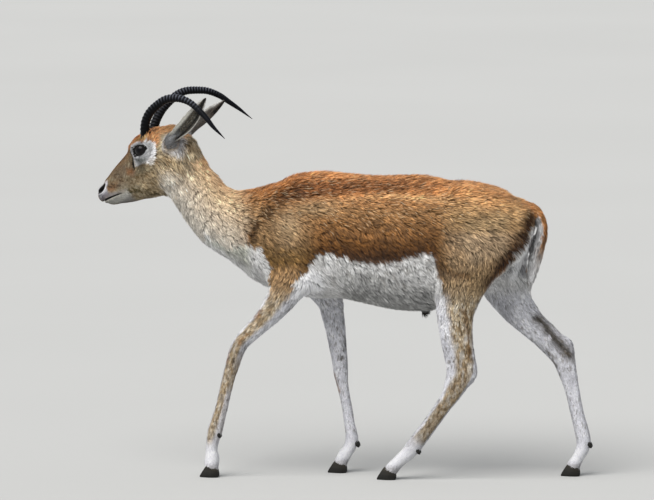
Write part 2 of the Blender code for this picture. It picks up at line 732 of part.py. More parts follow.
def leg_plate(rows, z, half):
    """Plate across a leg where its centre line passes height z."""
    r = curve_through(rows, 6)
    j = int(np.argmin(np.abs(r[:, 2] - z)))
    t = r[min(j + 2, len(r) - 1), :3] - r[max(j - 2, 0), :3]
    return plate(r[j, :3], t, (0, 1, 0), None, min(half, 30), half)


plates = {
    'head_neck': plate((-390, 0, 745), (0.97, 0, -0.24), (0, 1, 0), None, 84, 118),
    'neck_chest': plate((-238, 0, 597), (0.976, 0, -0.218), (0, 1, 0), None, 130, 140),
    'chest_barrel': plate((14, 0, 579), (1, 0, 0), (0, 1, 0), None, 150, 180),
    'barrel_rump': plate((199, 0, 566), (1, 0, -0.02), (0, 1, 0), None, 150, 190)}
for leg, rows, cuts in (('fl', LEG_FL, ((400, 46), (252, 30), (72, 27))),
                        ('fr', LEG_FR, ((396, 48), (232, 30), (96, 27))),
                        ('hl', LEG_HL, ((404, 66), (232, 44), (76, 29))),
                        ('hr', LEG_HR, ((398, 66), (246, 40), (68, 29)))):
    for n, (z, half) in zip(('upper', 'cannon', 'pastern'), cuts):
        plates[leg + '_' + n] = leg_plate(rows, z, half)
for n, q in plates.items():
    cut_with(whole, as_cutter(new_object('plate_' + n, *q)))

# ---------------------------------------------------------------- one solid per part
ANCHORS = {
    'head': tuple(head_point(60, 0, -20)), 'neck': (-340, 0, 655), 'chest': (-110, 0, 590),
    'barrel': (105, 0, 570), 'hindquarters': (310, 0, 590)}
for leg, rows, zs in (('fl', LEG_FL, (330, 165, 52)), ('fr', LEG_FR, (310, 150, 50)),
                      ('hl', LEG_HL, (320, 150, 55)), ('hr', LEG_HR, (325, 155, 50))):
    r = curve_through(rows, 6)
    for n, z in zip(('upper', 'cannon', 'pastern'), zs):
        ANCHORS['leg_%s_%s' % (leg, n)] = tuple(r[int(np.argmin(np.abs(r[:, 2] - z))), :3])

bm = bmesh.new()
bm.from_mesh(whole.data)
bmesh.ops.remove_doubles(bm, verts=bm.verts, dist=1e-6)
bmesh.ops.dissolve_degenerate(bm, edges=bm.edges, dist=2e-5)
bmesh.ops.triangulate(bm, faces=bm.faces)
left = set(bm.faces)
islands = []
while left:
    seed = left.pop()
    stack, isl = [seed], [seed]
    while stack:
        for e in stack.pop().edges:
            for f in e.link_faces:
                if f in left:
                    left.remove(f)
                    stack.append(f)
                    isl.append(f)
    islands.append(isl)
found = {}
for isl in islands:
    vs = {v for f in isl for v in f.verts}
    p = np.array([v.co[:] for v in vs]) / MM
    lo, hi = p.min(axis=0), p.max(axis=0)
    mid = (lo + hi) / 2
    best = min(ANCHORS, key=lambda k: np.linalg.norm(mid - np.array(ANCHORS[k])))
    found.setdefault(best, []).append((len(isl), isl, lo, hi))
    print('island', best, len(isl), lo.round(), hi.round())


def thin_out(ob):
    """Joins corners lying close together round the cut faces, each within its own plane."""
    bm = bmesh.new()
    bm.from_mesh(ob.data)
    for c, n, step in CUT_PLANES:
        for s in (-1, 1):
            at = c + n * s * CUT / 2
            vs = [v for v in bm.verts if abs((np.array(v.co) - at) @ n) < 2e-6
                  and np.linalg.norm(np.array(v.co) - at) < step * 60]
            if len(vs) > 8:
                bmesh.ops.remove_doubles(bm, verts=vs, dist=step)
    bmesh.ops.dissolve_degenerate(bm, edges=bm.edges, dist=1e-5)
    bmesh.ops.triangulate(bm, faces=[f for f in bm.faces if len(f.verts) > 3])
    bad = sum(not e.is_manifold for e in bm.edges)
    bm.to_mesh(ob.data)
    bm.free()
    if bad:
        print('open edges', ob.name, bad)


for name, got in found.items():
    got.sort(key=lambda g: -g[0])
    isl = got[0][1]
    print('part', name, len(isl), [g[0] for g in got[1:]])
    index = {}
    verts, faces = [], []
    for f in sorted(isl, key=lambda f: f.index):
        face = []
        for v in f.verts:
            if v.index not in index:
                index[v.index] = len(verts)
                verts.append(tuple(v.co))
            face.append(index[v.index])
        faces.append(face)
    SOLIDS[name] = new_object(name, verts, faces)
    thin_out(SOLIDS[name])
bm.free()
bpy.data.objects.remove(whole, do_unlink=True)
for c in [o for o in CUTTERS.objects]:
    bpy.data.objects.remove(c, do_unlink=True)

# ---------------------------------------------------------------- finish
COLOURS = {'horn': ((0.030, 0.030, 0.034), 0.5), 'hoof': ((0.030, 0.027, 0.026), 0.55),
           'dewclaw': ((0.035, 0.030, 0.028), 0.55), 'eye': ((0.010, 0.008, 0.008), 0.08),
           'ear': ((0.30, 0.28, 0.26), 0.9), 'head': ((0.42, 0.33, 0.24), 0.9), 'neck': ((0.43, 0.32, 0.22), 0.9),
           'chest': ((0.36, 0.22, 0.13), 0.9), 'barrel': ((0.33, 0.19, 0.11), 0.9),
           'hindquarters': ((0.42, 0.27, 0.16), 0.9), 'tail': ((0.38, 0.27, 0.19), 0.9), 'leg': ((0.50, 0.42, 0.34), 0.9)}
# the origin is the middle of the box's underside
allp = np.vstack([coords(ob) for ob in SOLIDS.values()])
lo, hi = allp.min(axis=0), allp.max(axis=0)
shift = np.array([-(lo[0] + hi[0]) / 2, -(lo[1] + hi[1]) / 2, -lo[2]])
print('box', (hi - lo).round(4), 'shift', shift.round(5))
total = 0
for name in sorted(SOLIDS):
    set_coords(SOLIDS[name], coords(SOLIDS[name]) + shift)
    bm = bmesh.new()
    bm.from_mesh(SOLIDS[name].data)
    bm.normal_update()
    if bm.calc_volume(signed=True) < 0:
        bmesh.ops.reverse_faces(bm, faces=bm.faces)
        bm.to_mesh(SOLIDS[name].data)
    bm.free()
for name in sorted(SOLIDS):
    ob = SOLIDS[name]
    rgb, rough = COLOURS[name.split('_')[0]]
    ob.data.materials.clear()
    ob.data.materials.append(material('mat_' + name, rgb, rough))
    n = sum(len(q.vertices) - 2 for q in ob.data.polygons)
    total += n
    print('solid', name, n)
print('solids', len(SOLIDS), 'triangles', total)
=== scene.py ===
"""A young male blackbuck in mid-step: one skin, a coat of tufts, ringed horns, wet eyes and cloven hooves."""
import math
import time

import bmesh
import bpy
import numpy as np
from mathutils import Matrix, Vector, kdtree


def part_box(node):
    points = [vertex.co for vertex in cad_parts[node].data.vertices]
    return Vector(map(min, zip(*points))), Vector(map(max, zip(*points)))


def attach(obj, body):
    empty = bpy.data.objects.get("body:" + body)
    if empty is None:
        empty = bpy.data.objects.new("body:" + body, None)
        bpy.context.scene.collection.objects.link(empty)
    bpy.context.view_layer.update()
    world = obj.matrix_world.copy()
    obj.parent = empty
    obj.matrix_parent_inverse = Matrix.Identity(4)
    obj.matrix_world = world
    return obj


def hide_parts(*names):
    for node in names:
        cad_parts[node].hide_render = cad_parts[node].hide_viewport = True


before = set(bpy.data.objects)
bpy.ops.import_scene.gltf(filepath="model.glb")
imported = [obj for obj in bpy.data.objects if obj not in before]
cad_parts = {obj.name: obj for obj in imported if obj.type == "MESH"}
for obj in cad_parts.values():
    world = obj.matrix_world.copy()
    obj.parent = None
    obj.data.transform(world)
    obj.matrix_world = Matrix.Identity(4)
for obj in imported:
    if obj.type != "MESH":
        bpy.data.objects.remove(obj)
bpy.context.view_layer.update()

T0 = time.time()
rng = np.random.default_rng(41)


def clock(what):
    print('%6.1f s  %s' % (time.time() - T0, what), flush=True)


# ---------------------------------------------------------------- the same shape code as the solids
MM = 0.001


def unit(v):
    v = np.asarray(v, dtype=float)
    return v / np.linalg.norm(v)


def curve_through(rows, n):
    rows = np.asarray(rows, dtype=float)
    p = np.vstack([2 * rows[0] - rows[1], rows, 2 * rows[-1] - rows[-2]])
    out = []
    for i in range(1, len(p) - 2):
        a, b, c, d = p[i - 1], p[i], p[i + 1], p[i + 2]
        for j in range(n):
            t = j / n
            out.append(0.5 * (2 * b + (c - a) * t + (2 * a - 5 * b + 4 * c - d) * t * t
                              + (3 * b - a - 3 * c + d) * t ** 3))
    out.append(p[-2])
    return np.array(out)


class Sweep:
    """Tapered limb or trunk: rows of x, y, z, half-width, height above, height below, egg."""

    def __init__(self, name, rows, k, side=(0, 1, 0), n=4, mirror=None):
        self.name, self.k = name, k * MM
        r = curve_through(rows, n)
        self.c = r[:, :3] * MM
        self.r = np.maximum(r[:, 3:6], 0.4) * MM
        self.g = r[:, 6]
        t = np.gradient(self.c, axis=0)
        self.t = t / np.linalg.norm(t, axis=1)[:, None]
        s = np.asarray(side, float)[None, :] - (self.t @ np.asarray(side, float))[:, None] * self.t
        self.s = s / np.linalg.norm(s, axis=1)[:, None]
        self.u = np.cross(self.t, self.s)
        if self.u[len(self.u) // 2, 2] < -1e-6 or (abs(self.u[len(self.u) // 2, 2]) < 0.25
                                                  and self.u[len(self.u) // 2, 0] < 0):
            self.u = -self.u
        self.rad = self.r.max()
        self.lo = (self.c - self.r.max(axis=1)[:, None]).min(axis=0)
        self.hi = (self.c + self.r.max(axis=1)[:, None]).max(axis=0)

    def near(self, p):
        best = np.full(len(p), 1e9)
        seg = np.zeros(len(p), dtype=np.int32)
        par = np.zeros(len(p))
        for j in range(len(self.c) - 1):
            a = self.c[j]
            d = self.c[j + 1] - a
            w = p - a
            t = np.clip(w @ d / (d @ d), 0.0, 1.0)
            q = w - t[:, None] * d
            e = np.einsum('ij,ij->i', q, q)
            m = e < best
            best[m] = e[m]
            seg[m] = j
            par[m] = t[m]
        return seg, par

    def local(self, p):
        j, t = self.near(p)
        t = t[:, None]
        mix = lambda q: q[j] * (1 - t) + q[j + 1] * t
        c, s, u, tt, r = mix(self.c), mix(self.s), mix(self.u), mix(self.t), mix(self.r)
        g = (self.g[j] * (1 - t[:, 0]) + self.g[j + 1] * t[:, 0])
        w = p - c
        return (j + t[:, 0], np.einsum('ij,ij->i', w, s), np.einsum('ij,ij->i', w, u),
                np.einsum('ij,ij->i', w, tt), r, g)

    def dist(self, p):
        _, a, b, c, r, g = self.local(p)
        rb = np.where(b > 0, r[:, 1], r[:, 2])
        ra = r[:, 0] * (1 + g * np.clip(b / rb, -1.0, 1.0))
        rc = np.minimum(ra, rb)
        k0 = np.sqrt((a / ra) ** 2 + (b / rb) ** 2 + (c / rc) ** 2) + 1e-9
        k1 = np.sqrt((a / ra ** 2) ** 2 + (b / rb ** 2) ** 2 + (c / rc ** 2) ** 2) + 1e-9
        return k0 * (k0 - 1) / k1


class Blob:
    """Ellipsoid: centre, three half-sizes, and the directions of the first two."""

    def __init__(self, name, c, r, k, x=(1, 0, 0), y=(0, 1, 0)):
        self.name, self.k = name, k * MM
        self.c = np.asarray(c, float) * MM
        self.r = np.asarray(r, float) * MM
        x = unit(x)
        y = np.asarray(y, float)
        y = unit(y - (y @ x) * x)
        self.m = np.array([x, y, np.cross(x, y)])
        self.lo = self.c - self.r.max()
        self.hi = self.c + self.r.max()

    def dist(self, p):
        q = (p - self.c) @ self.m.T
        k0 = np.linalg.norm(q / self.r, axis=1) + 1e-9
        k1 = np.linalg.norm(q / self.r ** 2, axis=1) + 1e-9
        return k0 * (k0 - 1) / k1


class Leaf:
    """Ear: a cupped leaf on an axis; rows of part of the length, half-width, half-thickness, cup."""

    def __init__(self, name, root, tip, face, rows, k, bend=0.0):
        self.name, self.k = name, k * MM
        self.root = np.asarray(root, float) * MM
        self.tip = np.asarray(tip, float) * MM
        self.len = np.linalg.norm(self.tip - self.root)
        self.a = unit(self.tip - self.root)
        n = np.asarray(face, float)
        self.n = unit(n - (n @ self.a) * self.a)
        self.w = np.cross(self.a, self.n)
        self.bend = bend * MM
        r = curve_through(rows, 5)
        self.f = r[:, 0]
        self.rr = r[:, 1:] * MM
        m = self.rr[:, 0].max() + 0.012
        self.lo = np.minimum(self.root, self.tip) - m
        self.hi = np.maximum(self.root, self.tip) + m

    def local(self, p):
        w = p - self.root
        t = w @ self.a / self.len
        return t, w @ self.w - self.shift(t), w @ self.n

    def shift(self, t):
        return self.bend * 4 * np.clip(t, 0, 1) * (1 - np.clip(t, 0, 1))

    def dist(self, p, thin=1.0, grow=0.0):
        t, b, c = self.local(p)
        tc = np.clip(t, 0.0, 1.0)
        hw = np.interp(tc, self.f, self.rr[:, 0]) + grow
        ht = np.interp(tc, self.f, self.rr[:, 1]) * thin + grow
        cup = np.interp(tc, self.f, self.rr[:, 2])
        mid = cup * np.minimum((b / hw) ** 2, 1.6)
        d = (t - tc) * self.len
        e = c - mid
        k0 = np.sqrt((b / hw) ** 2 + (e / ht) ** 2 + (d / ht) ** 2) + 1e-9
        k1 = np.sqrt((b / hw ** 2) ** 2 + (e / ht ** 2) ** 2 + (d / ht ** 2) ** 2) + 1e-9
        return k0 * (k0 - 1) / k1


def blend(a, b, k):
    h = np.maximum(k - np.abs(a - b), 0.0) / k
    return np.minimum(a, b) - h * h * k * 0.25


# ---------------------------------------------------------------- head frame
HEAD_AT = np.array([-405.0, -4.0, 785.0])
HEAD_PITCH = math.radians(32)
HEAD_YAW = math.radians(17)
cp, sp, cy, sy = math.cos(HEAD_PITCH), math.sin(HEAD_PITCH), math.cos(HEAD_YAW), math.sin(HEAD_YAW)
HEAD_F = np.array([-cp * cy, cp * sy, -sp])
HEAD_S = np.array([-sy, -cy, 0.0])
HEAD_H = np.array([-sp * cy, sp * sy, cp])


def head_point(f, s, h):
    return HEAD_AT + f * HEAD_F + s * HEAD_S + h * HEAD_H


def head_rows(rows):
    return [tuple(head_point(f, 0, h)) + (w, up, dn, g) for f, h, w, up, dn, g in rows]


# ---------------------------------------------------------------- named sizes, mm
TRUNK = [
    (-206, 0, 580, 72, 98, 98, 0.00),
    (-165, 0, 580, 88, 123, 128, -0.04),
    (-111, 0, 580, 98, 147, 149, -0.10),
    (-63, 0, 581, 106, 155, 155, -0.12),
    (-2, 0, 579, 113, 153, 153, -0.10),
    (58, 0, 573, 119, 155, 158, -0.08),
    (125, 0, 568, 123, 161, 167, -0.06),
    (191, 0, 566, 119, 163, 167, -0.04),
    (251, 0, 572, 110, 151, 154, 0.00),
    (311, 0, 586, 102, 131, 128, 0.04),
    (364, 0, 600, 90, 103, 98, 0.06),
    (400, 0, 609, 70, 79, 74, 0.05),
    (424, 0, 618, 30, 54, 38, 0.00)]

NECK = [
    (-429, 2, 760, 38, 56, 50, -0.04),
    (-411, 0, 742, 42, 61, 58, -0.06),
    (-389, 0, 716, 46, 63, 61, -0.08),
    (-362, 0, 684, 50, 66, 63, -0.10),
    (-334, 0, 649, 56, 69, 68, -0.10),
    (-297, 0, 620, 66, 77, 80, -0.08),
    (-250, 0, 602, 77, 90, 92, -0.08),
    (-205, 0, 592, 86, 108, 104, -0.06)]

#            f    h    w   up  down  egg
HEAD = [
    (-21, 2, 31, 26, 44, 0.0),
    (-11, 2, 39, 39, 65, -0.02),
    (6, 0, 45, 61, 76, 0.02),
    (30, -2, 46, 74, 79, 0.10),
    (54, -3, 44, 80, 81, 0.12),
    (76, -3, 40, 82, 80, 0.10),
    (96, -4, 37, 75, 75, 0.06),
    (115, -5, 34, 64, 67, 0.0),
    (140, -5, 30, 56, 56, 0.0),
    (165, -5, 27.5, 49, 48, 0.0),
    (190, -5, 25.5, 40, 38, 0.0),
    (208, -5, 23, 33, 29, 0.0),
    (222, -3, 19, 25, 20, 0.0),
    (231, -1, 13, 15, 12, 0.0)]

TAIL = [
    (420, 0, 649, 22, 21, 18, 0),
    (442, 0, 648, 20, 18, 16, 0),
    (460, 0, 635, 18, 14, 13, 0),
    (470, 0, 613, 18, 15, 12, 0),
    (473, 0, 586, 18, 23, 10.5, 0),
    (467, 0, 556, 18, 26, 10.5, 0),
    (459, 0, 524, 17, 24, 10.5, 0),
    (450, 0, 491, 13, 16, 9, 0),
    (441, 0, 458, 5, 4.5, 4, 0)]

# x, y, z, half-width, half-depth in front, behind
LEG_FL = [
    (-122, -68, 480, 34, 50, 50, 0),
    (-151, -71, 432, 29, 37, 38, 0),
    (-180, -70, 392, 24, 28, 28, 0),
    (-215, -68, 357, 20.5, 23, 23, 0),
    (-243, -66, 328, 18.5, 20.5, 20.5, 0),
    (-257, -65, 301, 18.5, 19, 19, 0),
    (-266, -64, 273, 18, 17.5, 18, 0),
    (-276, -62, 241, 15, 16, 16.5, 0),
    (-285, -61, 204, 13.5, 15.5, 16, 0),
    (-294, -60, 167, 13.5, 15.5, 16.5, 0),
    (-303, -58, 137, 15, 16.5, 18, 0),
    (-311, -57, 109, 17.5, 18, 19.5, 0),
    (-316, -56, 84, 17, 15.5, 16, 0),
    (-318, -56, 64, 17.5, 14.5, 15, 0),
    (-317, -56, 45, 20, 18, 18, 0),
    (-319, -56, 20, 20, 18, 18, 0)]

LEG_FR = [
    (-105, 66, 510, 34, 56, 56, 0),
    (-72, 68, 458, 30, 44, 44, 0),
    (-47, 69, 415, 26, 34, 33, 0),
    (-40, 68, 386, 23, 29, 29, 0),
    (-33, 66, 348, 20, 26, 25, 0),
    (-27, 64, 307, 18.5, 22.5, 22, 0),
    (-22, 63, 271, 18, 20.5, 19.5, 0),
    (-19, 62, 242, 17.5, 18.5, 18, 0),
    (-15, 60, 218, 15, 15, 16, 0),
    (-11, 60, 196, 13.5, 13.5, 14, 0),
    (-6, 59, 172, 13, 13, 13.5, 0),
    (-1, 58, 146, 13, 13, 13.5, 0),
    (2, 57, 124, 13.5, 13, 14, 0),
    (7, 56, 100, 15, 14, 15, 0),
    (9, 55, 80, 17, 15.5, 17, 0),
    (3, 54, 60, 17.5, 15, 16, 0),
    (-11, 54, 39, 20, 17, 17, 0),
    (-22, 54, 16, 20, 17, 17, 0)]

LEG_HL = [
    (300, -62, 545, 44, 84, 80, 0),
    (284, -70, 484, 40, 70, 66, 0),
    (276, -74, 443, 34, 58, 55, 0),
    (272, -74, 407, 28, 50, 45, 0),
    (273, -72, 375, 24, 46, 39, 0),
    (276, -70, 343, 21, 44, 36, 0),
    (281, -67, 309, 18.5, 42, 34, 0),
    (284, -65, 283, 17.5, 40, 34, 0),
    (281, -63, 256, 17.5, 36, 32, 0),
    (268, -61, 226, 16.5, 29, 27, 0),
    (255, -60, 202, 15.5, 22.5, 22.5, 0),
    (241, -59, 182, 15, 20, 20, 0),
    (225, -58, 159, 15, 19, 19.5, 0),
    (207, -57, 134, 15, 18.5, 19.5, 0),
    (188, -56, 108, 16.5, 19, 20, 0),
    (171, -55, 86, 18, 19, 20.5, 0),
    (153, -54, 63, 17.5, 17, 18.5, 0),
    (134, -54, 45, 18, 15.5, 16, 0),
    (118, -54, 28, 20, 17, 17, 0),
    (106, -54, 12, 20, 17, 17, 0)]

LEG_HR = [
    (352, 62, 545, 44, 84, 80, 0),
    (363, 68, 500, 40, 70, 70, 0),
    (378, 72, 455, 34, 58, 60, 0),
    (400, 73, 412, 27, 46, 47, 0),
    (421, 71, 385, 24, 40, 40, 0),
    (443, 69, 362, 21, 35, 35, 0),
    (467, 67, 342, 19, 33, 34, 0),
    (490, 64, 321, 18, 31, 34, 0),
    (508, 63, 300, 17.5, 30, 32, 0),
    (520, 61, 277, 17, 27, 28, 0),
    (527, 60, 252, 16, 23.5, 24, 0),
    (535, 59, 224, 15, 19.5, 20, 0),
    (542, 58, 195, 14.5, 17.5, 18, 0),
    (548, 57, 168, 14.5, 16.5, 17.5, 0),
    (554, 56, 143, 15, 16.5, 17.5, 0),
    (562, 55, 113, 17, 17, 18.5, 0),
    (568, 55, 88, 17.5, 17, 19, 0),
    (566, 54, 67, 17, 15.5, 17.5, 0),
    (555, 54, 45, 18, 14.5, 15.5, 0),
    (545, 54, 28, 20, 17, 17, 0),
    (538, 54, 12, 20, 17, 17, 0)]

#        part of length, half-width, half-thickness, cup
EAR = [(0.00, 12, 11, 0), (0.12, 14, 9, 2), (0.30, 18.5, 5.2, 8), (0.50, 21, 4.3, 9),
       (0.70, 18.5, 4.0, 8), (0.86, 12.5, 3.8, 5), (0.95, 7.5, 3.6, 2), (1.00, 4.0, 3.2, 0)]
EAR_L = ((-416, -43, 804), (-330, -68, 909), (-0.50, -0.85, 0.20))
EAR_R = ((-392, 33, 811), (-302, 70, 893), (-0.22, 0.62, 0.75))

EYE_R = 18.0
EYE_L_AT = (68.5, 32.0, 38)
EYE_R_AT = (68.5, -32.0, 38)

HORN_L = [(-479, -20, 806, 12.2), (-481, -23, 828, 12.0), (-478, -28, 851, 11.5), (-467, -36, 873, 11.2),
          (-449, -45, 891, 10.8), (-428, -56, 905, 10.4), (-408, -67, 910, 10.0), (-388, -78, 910, 9.4),
          (-365, -89, 902, 8.4), (-344, -99, 887, 7.7), (-324, -107, 868, 6.6), (-304, -114, 845, 4.6),
          (-277, -120, 819, 0.8)]
HORN_R = [(-465, 18, 810, 12.2), (-464, 22, 834, 12.0), (-459, 27, 852, 11.5), (-448, 35, 873, 11.2),
          (-432, 44, 892, 10.8), (-414, 55, 908, 10.4), (-393, 66, 917, 9.9), (-368, 78, 918, 9.4),
          (-342, 90, 915, 8.6), (-317, 101, 904, 7.6), (-296, 110, 889, 6.4), (-273, 118, 872, 4.6),
          (-240, 126, 846, 0.8)]

FEET = {'fl': (-322, -56), 'fr': (-25, 54), 'hl': (104, -54), 'hr': (537, 54)}
FETLOCK = {'fl': (-300, -57, 103), 'fr': (22, 56, 70), 'hl': (179, -55, 70), 'hr': (582, 55, 76)}


def flesh():
    out = [Sweep('trunk', TRUNK, 30), Sweep('neck', NECK, 34)]
    for name, sg in (('l', -1), ('r', 1)):
        out += [
            Blob('shoulder_' + name, (-152, sg * 50, 618), (112, 40, 58), 34, (-0.42, sg * 0.22, -0.88)),
            Blob('arm_' + name, (-158, sg * 62, 520), (70, 34, 52), 30, (0.80, 0, -0.55)),
            Blob('hip_' + name, (288, sg * 56, 672), (40, 30, 30), 50),
            Blob('thigh_' + name, (318 if sg < 0 else 338, sg * 54, 575), (120, 50, 88), 36,
                 (0.42, -sg * 0.05, 0.90) if sg < 0 else (0.12, -sg * 0.05, 0.99)),
            Blob('buttock_' + name, (396, sg * 41, 580), (84, 42, 42), 30, (0.50, -sg * 0.14, 0.85)),
            Blob('pin_' + name, (402, sg * 34, 626), (33, 27, 36), 34)]
    out += [
        Blob('stifle_l', (246, -72, 508), (52, 34, 38), 30, (0.2, 0, 1)),
        Blob('stifle_r', (300, 70, 508), (52, 34, 40), 30, (-0.1, 0, 1)),
        Blob('brisket', (-190, 0, 500), (50, 46, 38), 34, (0.6, 0, -0.8)),
        Blob('sheath', (187, 0, 397), (12, 11, 14), 9),
        Blob('poll', (-364, 0, 759), (36, 29, 22), 20, (0.52, 0, -0.855)),
        Blob('hock_l', (303, -63, 260), (13, 11, 18), 9, (1, 0, 0), (0, 1, 0)),
        Blob('hock_r', (524, 63, 311), (13, 11, 18), 9, (1, 0, 0), (0, 1, 0)),
        Sweep('leg_fl', LEG_FL, 24), Sweep('leg_fr', LEG_FR, 24),
        Sweep('leg_hl', LEG_HL, 26), Sweep('leg_hr', LEG_HR, 26),
        Sweep('tail', TAIL, 9)]
    return out


def head_flesh():
    out = [Sweep('head', head_rows(HEAD), 22, side=tuple(-HEAD_S))]
    for name, sg in (('l', 1), ('r', -1)):
        out += [
            Blob('brow_' + name, head_point(75, sg * 29, 55), (27, 15, 15), 12, HEAD_F, HEAD_S),
            Blob('orbit_' + name, head_point(70, sg * 28, 30), (30, 15, 26), 12, HEAD_F, HEAD_S),
            Blob('cheek_' + name, head_point(40, sg * 32, -22), (50, 15, 46), 28, HEAD_F, HEAD_S),
            Blob('nose_' + name, head_point(221, sg * 10, 9), (13, 9, 12), 8, HEAD_F, HEAD_S),
            Blob('lip_' + name, head_point(206, sg * 15, -12), (22, 10, 13), 10, HEAD_F, HEAD_S),
            Blob('earbase_' + name, head_point(-14, sg * 34, 20), (17, 14, 17), 12, HEAD_F, HEAD_S)]
    for name, base in (('l', HORN_L), ('r', HORN_R)):
        out.append(Blob('horn_root_' + name, (base[0][0] + 3, base[0][1], base[0][2] - 1), (19, 19, 25), 14))
    out += [Blob('chin', head_point(199, 0, -22), (23, 15, 9), 10, HEAD_F, HEAD_S),
            Blob('crown', head_point(12, 0, 43), (38, 33, 22), 22, HEAD_F, HEAD_S)]
    return out


def ears():
    return [Leaf('ear_l', *EAR_L, EAR, 10, 11), Leaf('ear_r', *EAR_R, EAR, 10, -8)]


def field(p, parts, start=None):
    f = np.full(len(p), 0.2) if start is None else start
    for q in parts:
        pad = 0.03 + 2.2 * q.k
        m = np.all((p > q.lo - pad) & (p < q.hi + pad), axis=1)
        i = np.nonzero(m)[0]
        if len(i):
            f[i] = blend(f[i], q.dist(p[i]), q.k)
    return f


def settle(p, fn, steps=4, lim=0.02, eps=0.0006):
    """Moves points to where fn is zero, along its slope."""
    for _ in range(steps):
        f = fn(p)
        g = np.stack([fn(p + d) - fn(p - d) for d in np.eye(3) * eps], axis=1) / (2 * eps)
        n = np.maximum(np.einsum('ij,ij->i', g, g), 0.15)
        p = p - np.clip(f / n, -lim, lim)[:, None] * g
    return p


# ---------------------------------------------------------------- where the frame puts it
lo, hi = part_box('eye_l')
SHIFT = (np.array(lo) + np.array(hi)) / 2 - head_point(*EYE_L_AT) * MM


# ---------------------------------------------------------------- small mesh helpers
def new_object(name, verts, faces):
    me = bpy.data.meshes.new(name)
    me.from_pydata([tuple(v) for v in verts], [], [tuple(f) for f in faces])
    ob = bpy.data.objects.new(name, me)
    bpy.context.scene.collection.objects.link(ob)
    return ob


def faces_out(ob):
    bm = bmesh.new()
    bm.from_mesh(ob.data)
    bmesh.ops.recalc_face_normals(bm, faces=bm.faces)
    if bm.calc_volume(signed=True) < 0:
        bmesh.ops.reverse_faces(bm, faces=bm.faces)
    bm.to_mesh(ob.data)
    bm.free()


def baked(ob):
    dg = bpy.context.evaluated_depsgraph_get()
    me = bpy.data.meshes.new_from_object(ob.evaluated_get(dg))
    old = ob.data
    ob.modifiers.clear()
    ob.data = me
    bpy.data.meshes.remove(old)
    return ob


def coords(ob):
    p = np.empty(len(ob.data.vertices) * 3, dtype=np.float32)
    ob.data.vertices.foreach_get('co', p)
    return p.reshape(-1, 3).astype(float)


def set_coords(ob, p):
    ob.data.vertices.foreach_set('co', np.ascontiguousarray(p, dtype=np.float32).ravel())
    ob.data.update()


def normals(ob):
    n = np.empty(len(ob.data.vertices) * 3, dtype=np.float32)
    ob.data.vertex_normals.foreach_get('vector', n)
    return n.reshape(-1, 3).astype(float)


def smoothed(ob, p, turns, rate, mask=None):
    e = np.empty(len(ob.data.edges) * 2, dtype=np.int32)
    ob.data.edges.foreach_get('vertices', e)
    e = e.reshape(-1, 2)
    deg = np.maximum(np.bincount(e.ravel(), minlength=len(p)), 1)[:, None]
    for _ in range(turns):
        s = np.zeros_like(p)
        for k in range(3):
            s[:, k] = np.bincount(e[:, 0], p[e[:, 1], k], len(p)) + np.bincount(e[:, 1], p[e[:, 0], k], len(p))
        d = rate * (s / deg - p)
        p = p + (d if mask is None else d * mask[:, None])
    return p


def smooth_shade(ob):
    ob.data.polygons.foreach_set('use_smooth', np.ones(len(ob.data.polygons), dtype=bool))


def loft(rings, caps=True):
    n = len(rings[0])
    verts = [p for ring in rings for p in ring]
    faces = [list(range(n))[::-1], [len(verts) - n + i for i in range(n)]] if caps else []
    for j in range(len(rings) - 1):
        for i in range(n):
            a, b = j * n + i, j * n + (i + 1) % n
            faces.append([a, b, b + n, a + n])
    return verts, faces


def step(a, b, x):
    t = np.clip((x - a) / (b - a), 0.0, 1.0)
    return t * t * (3 - 2 * t)


def bump(x, mid, half):
    """1 in the middle, 0 at half away and beyond."""
    return step(half, 0.0, np.abs(x - mid))


def _hash(i, j, k, seed):
    n = (i * 73856093) ^ (j * 19349663) ^ (k * 83492791) ^ (seed * 40503)
    n = (n ^ (n >> 13)) * 1274126177
    n = n ^ (n >> 16)
    return (n & 0xfffff) / float(0xfffff)


def noise(p, size, seed=0):
    """Smooth value noise from 0 to 1; size is the grain in the units of p, one number or three."""
    q = p / np.asarray(size, float)
    i = np.floor(q).astype(np.int64)
    f = q - i
    f = f * f * (3 - 2 * f)
    out = np.zeros(len(p))
    for a in (0, 1):
        for b in (0, 1):
            for c in (0, 1):
                w = ((f[:, 0] if a else 1 - f[:, 0]) * (f[:, 1] if b else 1 - f[:, 1]) * (f[:, 2] if c else 1 - f[:, 2]))
                out += w * _hash(i[:, 0] + a, i[:, 1] + b, i[:, 2] + c, seed)
    return out


def line_dist(x, z, pts):
    """Distance to an open line, and how far along it, 0 to 1."""
    pts = np.asarray(pts, float)
    best = np.full(len(x), 1e9)
    at = np.zeros(len(x))
    seg = np.linalg.norm(np.diff(pts, axis=0), axis=1)
    run = np.concatenate([[0], np.cumsum(seg)])
    for j in range(len(pts) - 1):
        a, d = pts[j], pts[j + 1] - pts[j]
        t = np.clip(((x - a[0]) * d[0] + (z - a[1]) * d[1]) / (d @ d), 0, 1)
        e = np.hypot(x - a[0] - t * d[0], z - a[1] - t * d[1])
        m = e < best
        best[m] = e[m]
        at[m] = (run[j] + t[m] * seg[j]) / run[-1]
    return best, at


def area_dist(x, z, pts):
    """Distance to a closed outline, negative inside."""
    pts = np.asarray(list(pts) + [pts[0]], float)
    d, _ = line_dist(x, z, pts)
    inside = np.zeros(len(x), dtype=bool)
    for a, b in zip(pts[:-1], pts[1:]):
        m = (a[1] > z) != (b[1] > z)
        if a[1] != b[1]:
            inside ^= m & (x < (b[0] - a[0]) * (z - a[1]) / (b[1] - a[1]) + a[0])
    return np.where(inside, -d, d)


def head_local(p):
    """f, s, h of points given in millimetres."""
    w = p - HEAD_AT
    return w @ HEAD_F, w @ HEAD_S, w @ HEAD_H


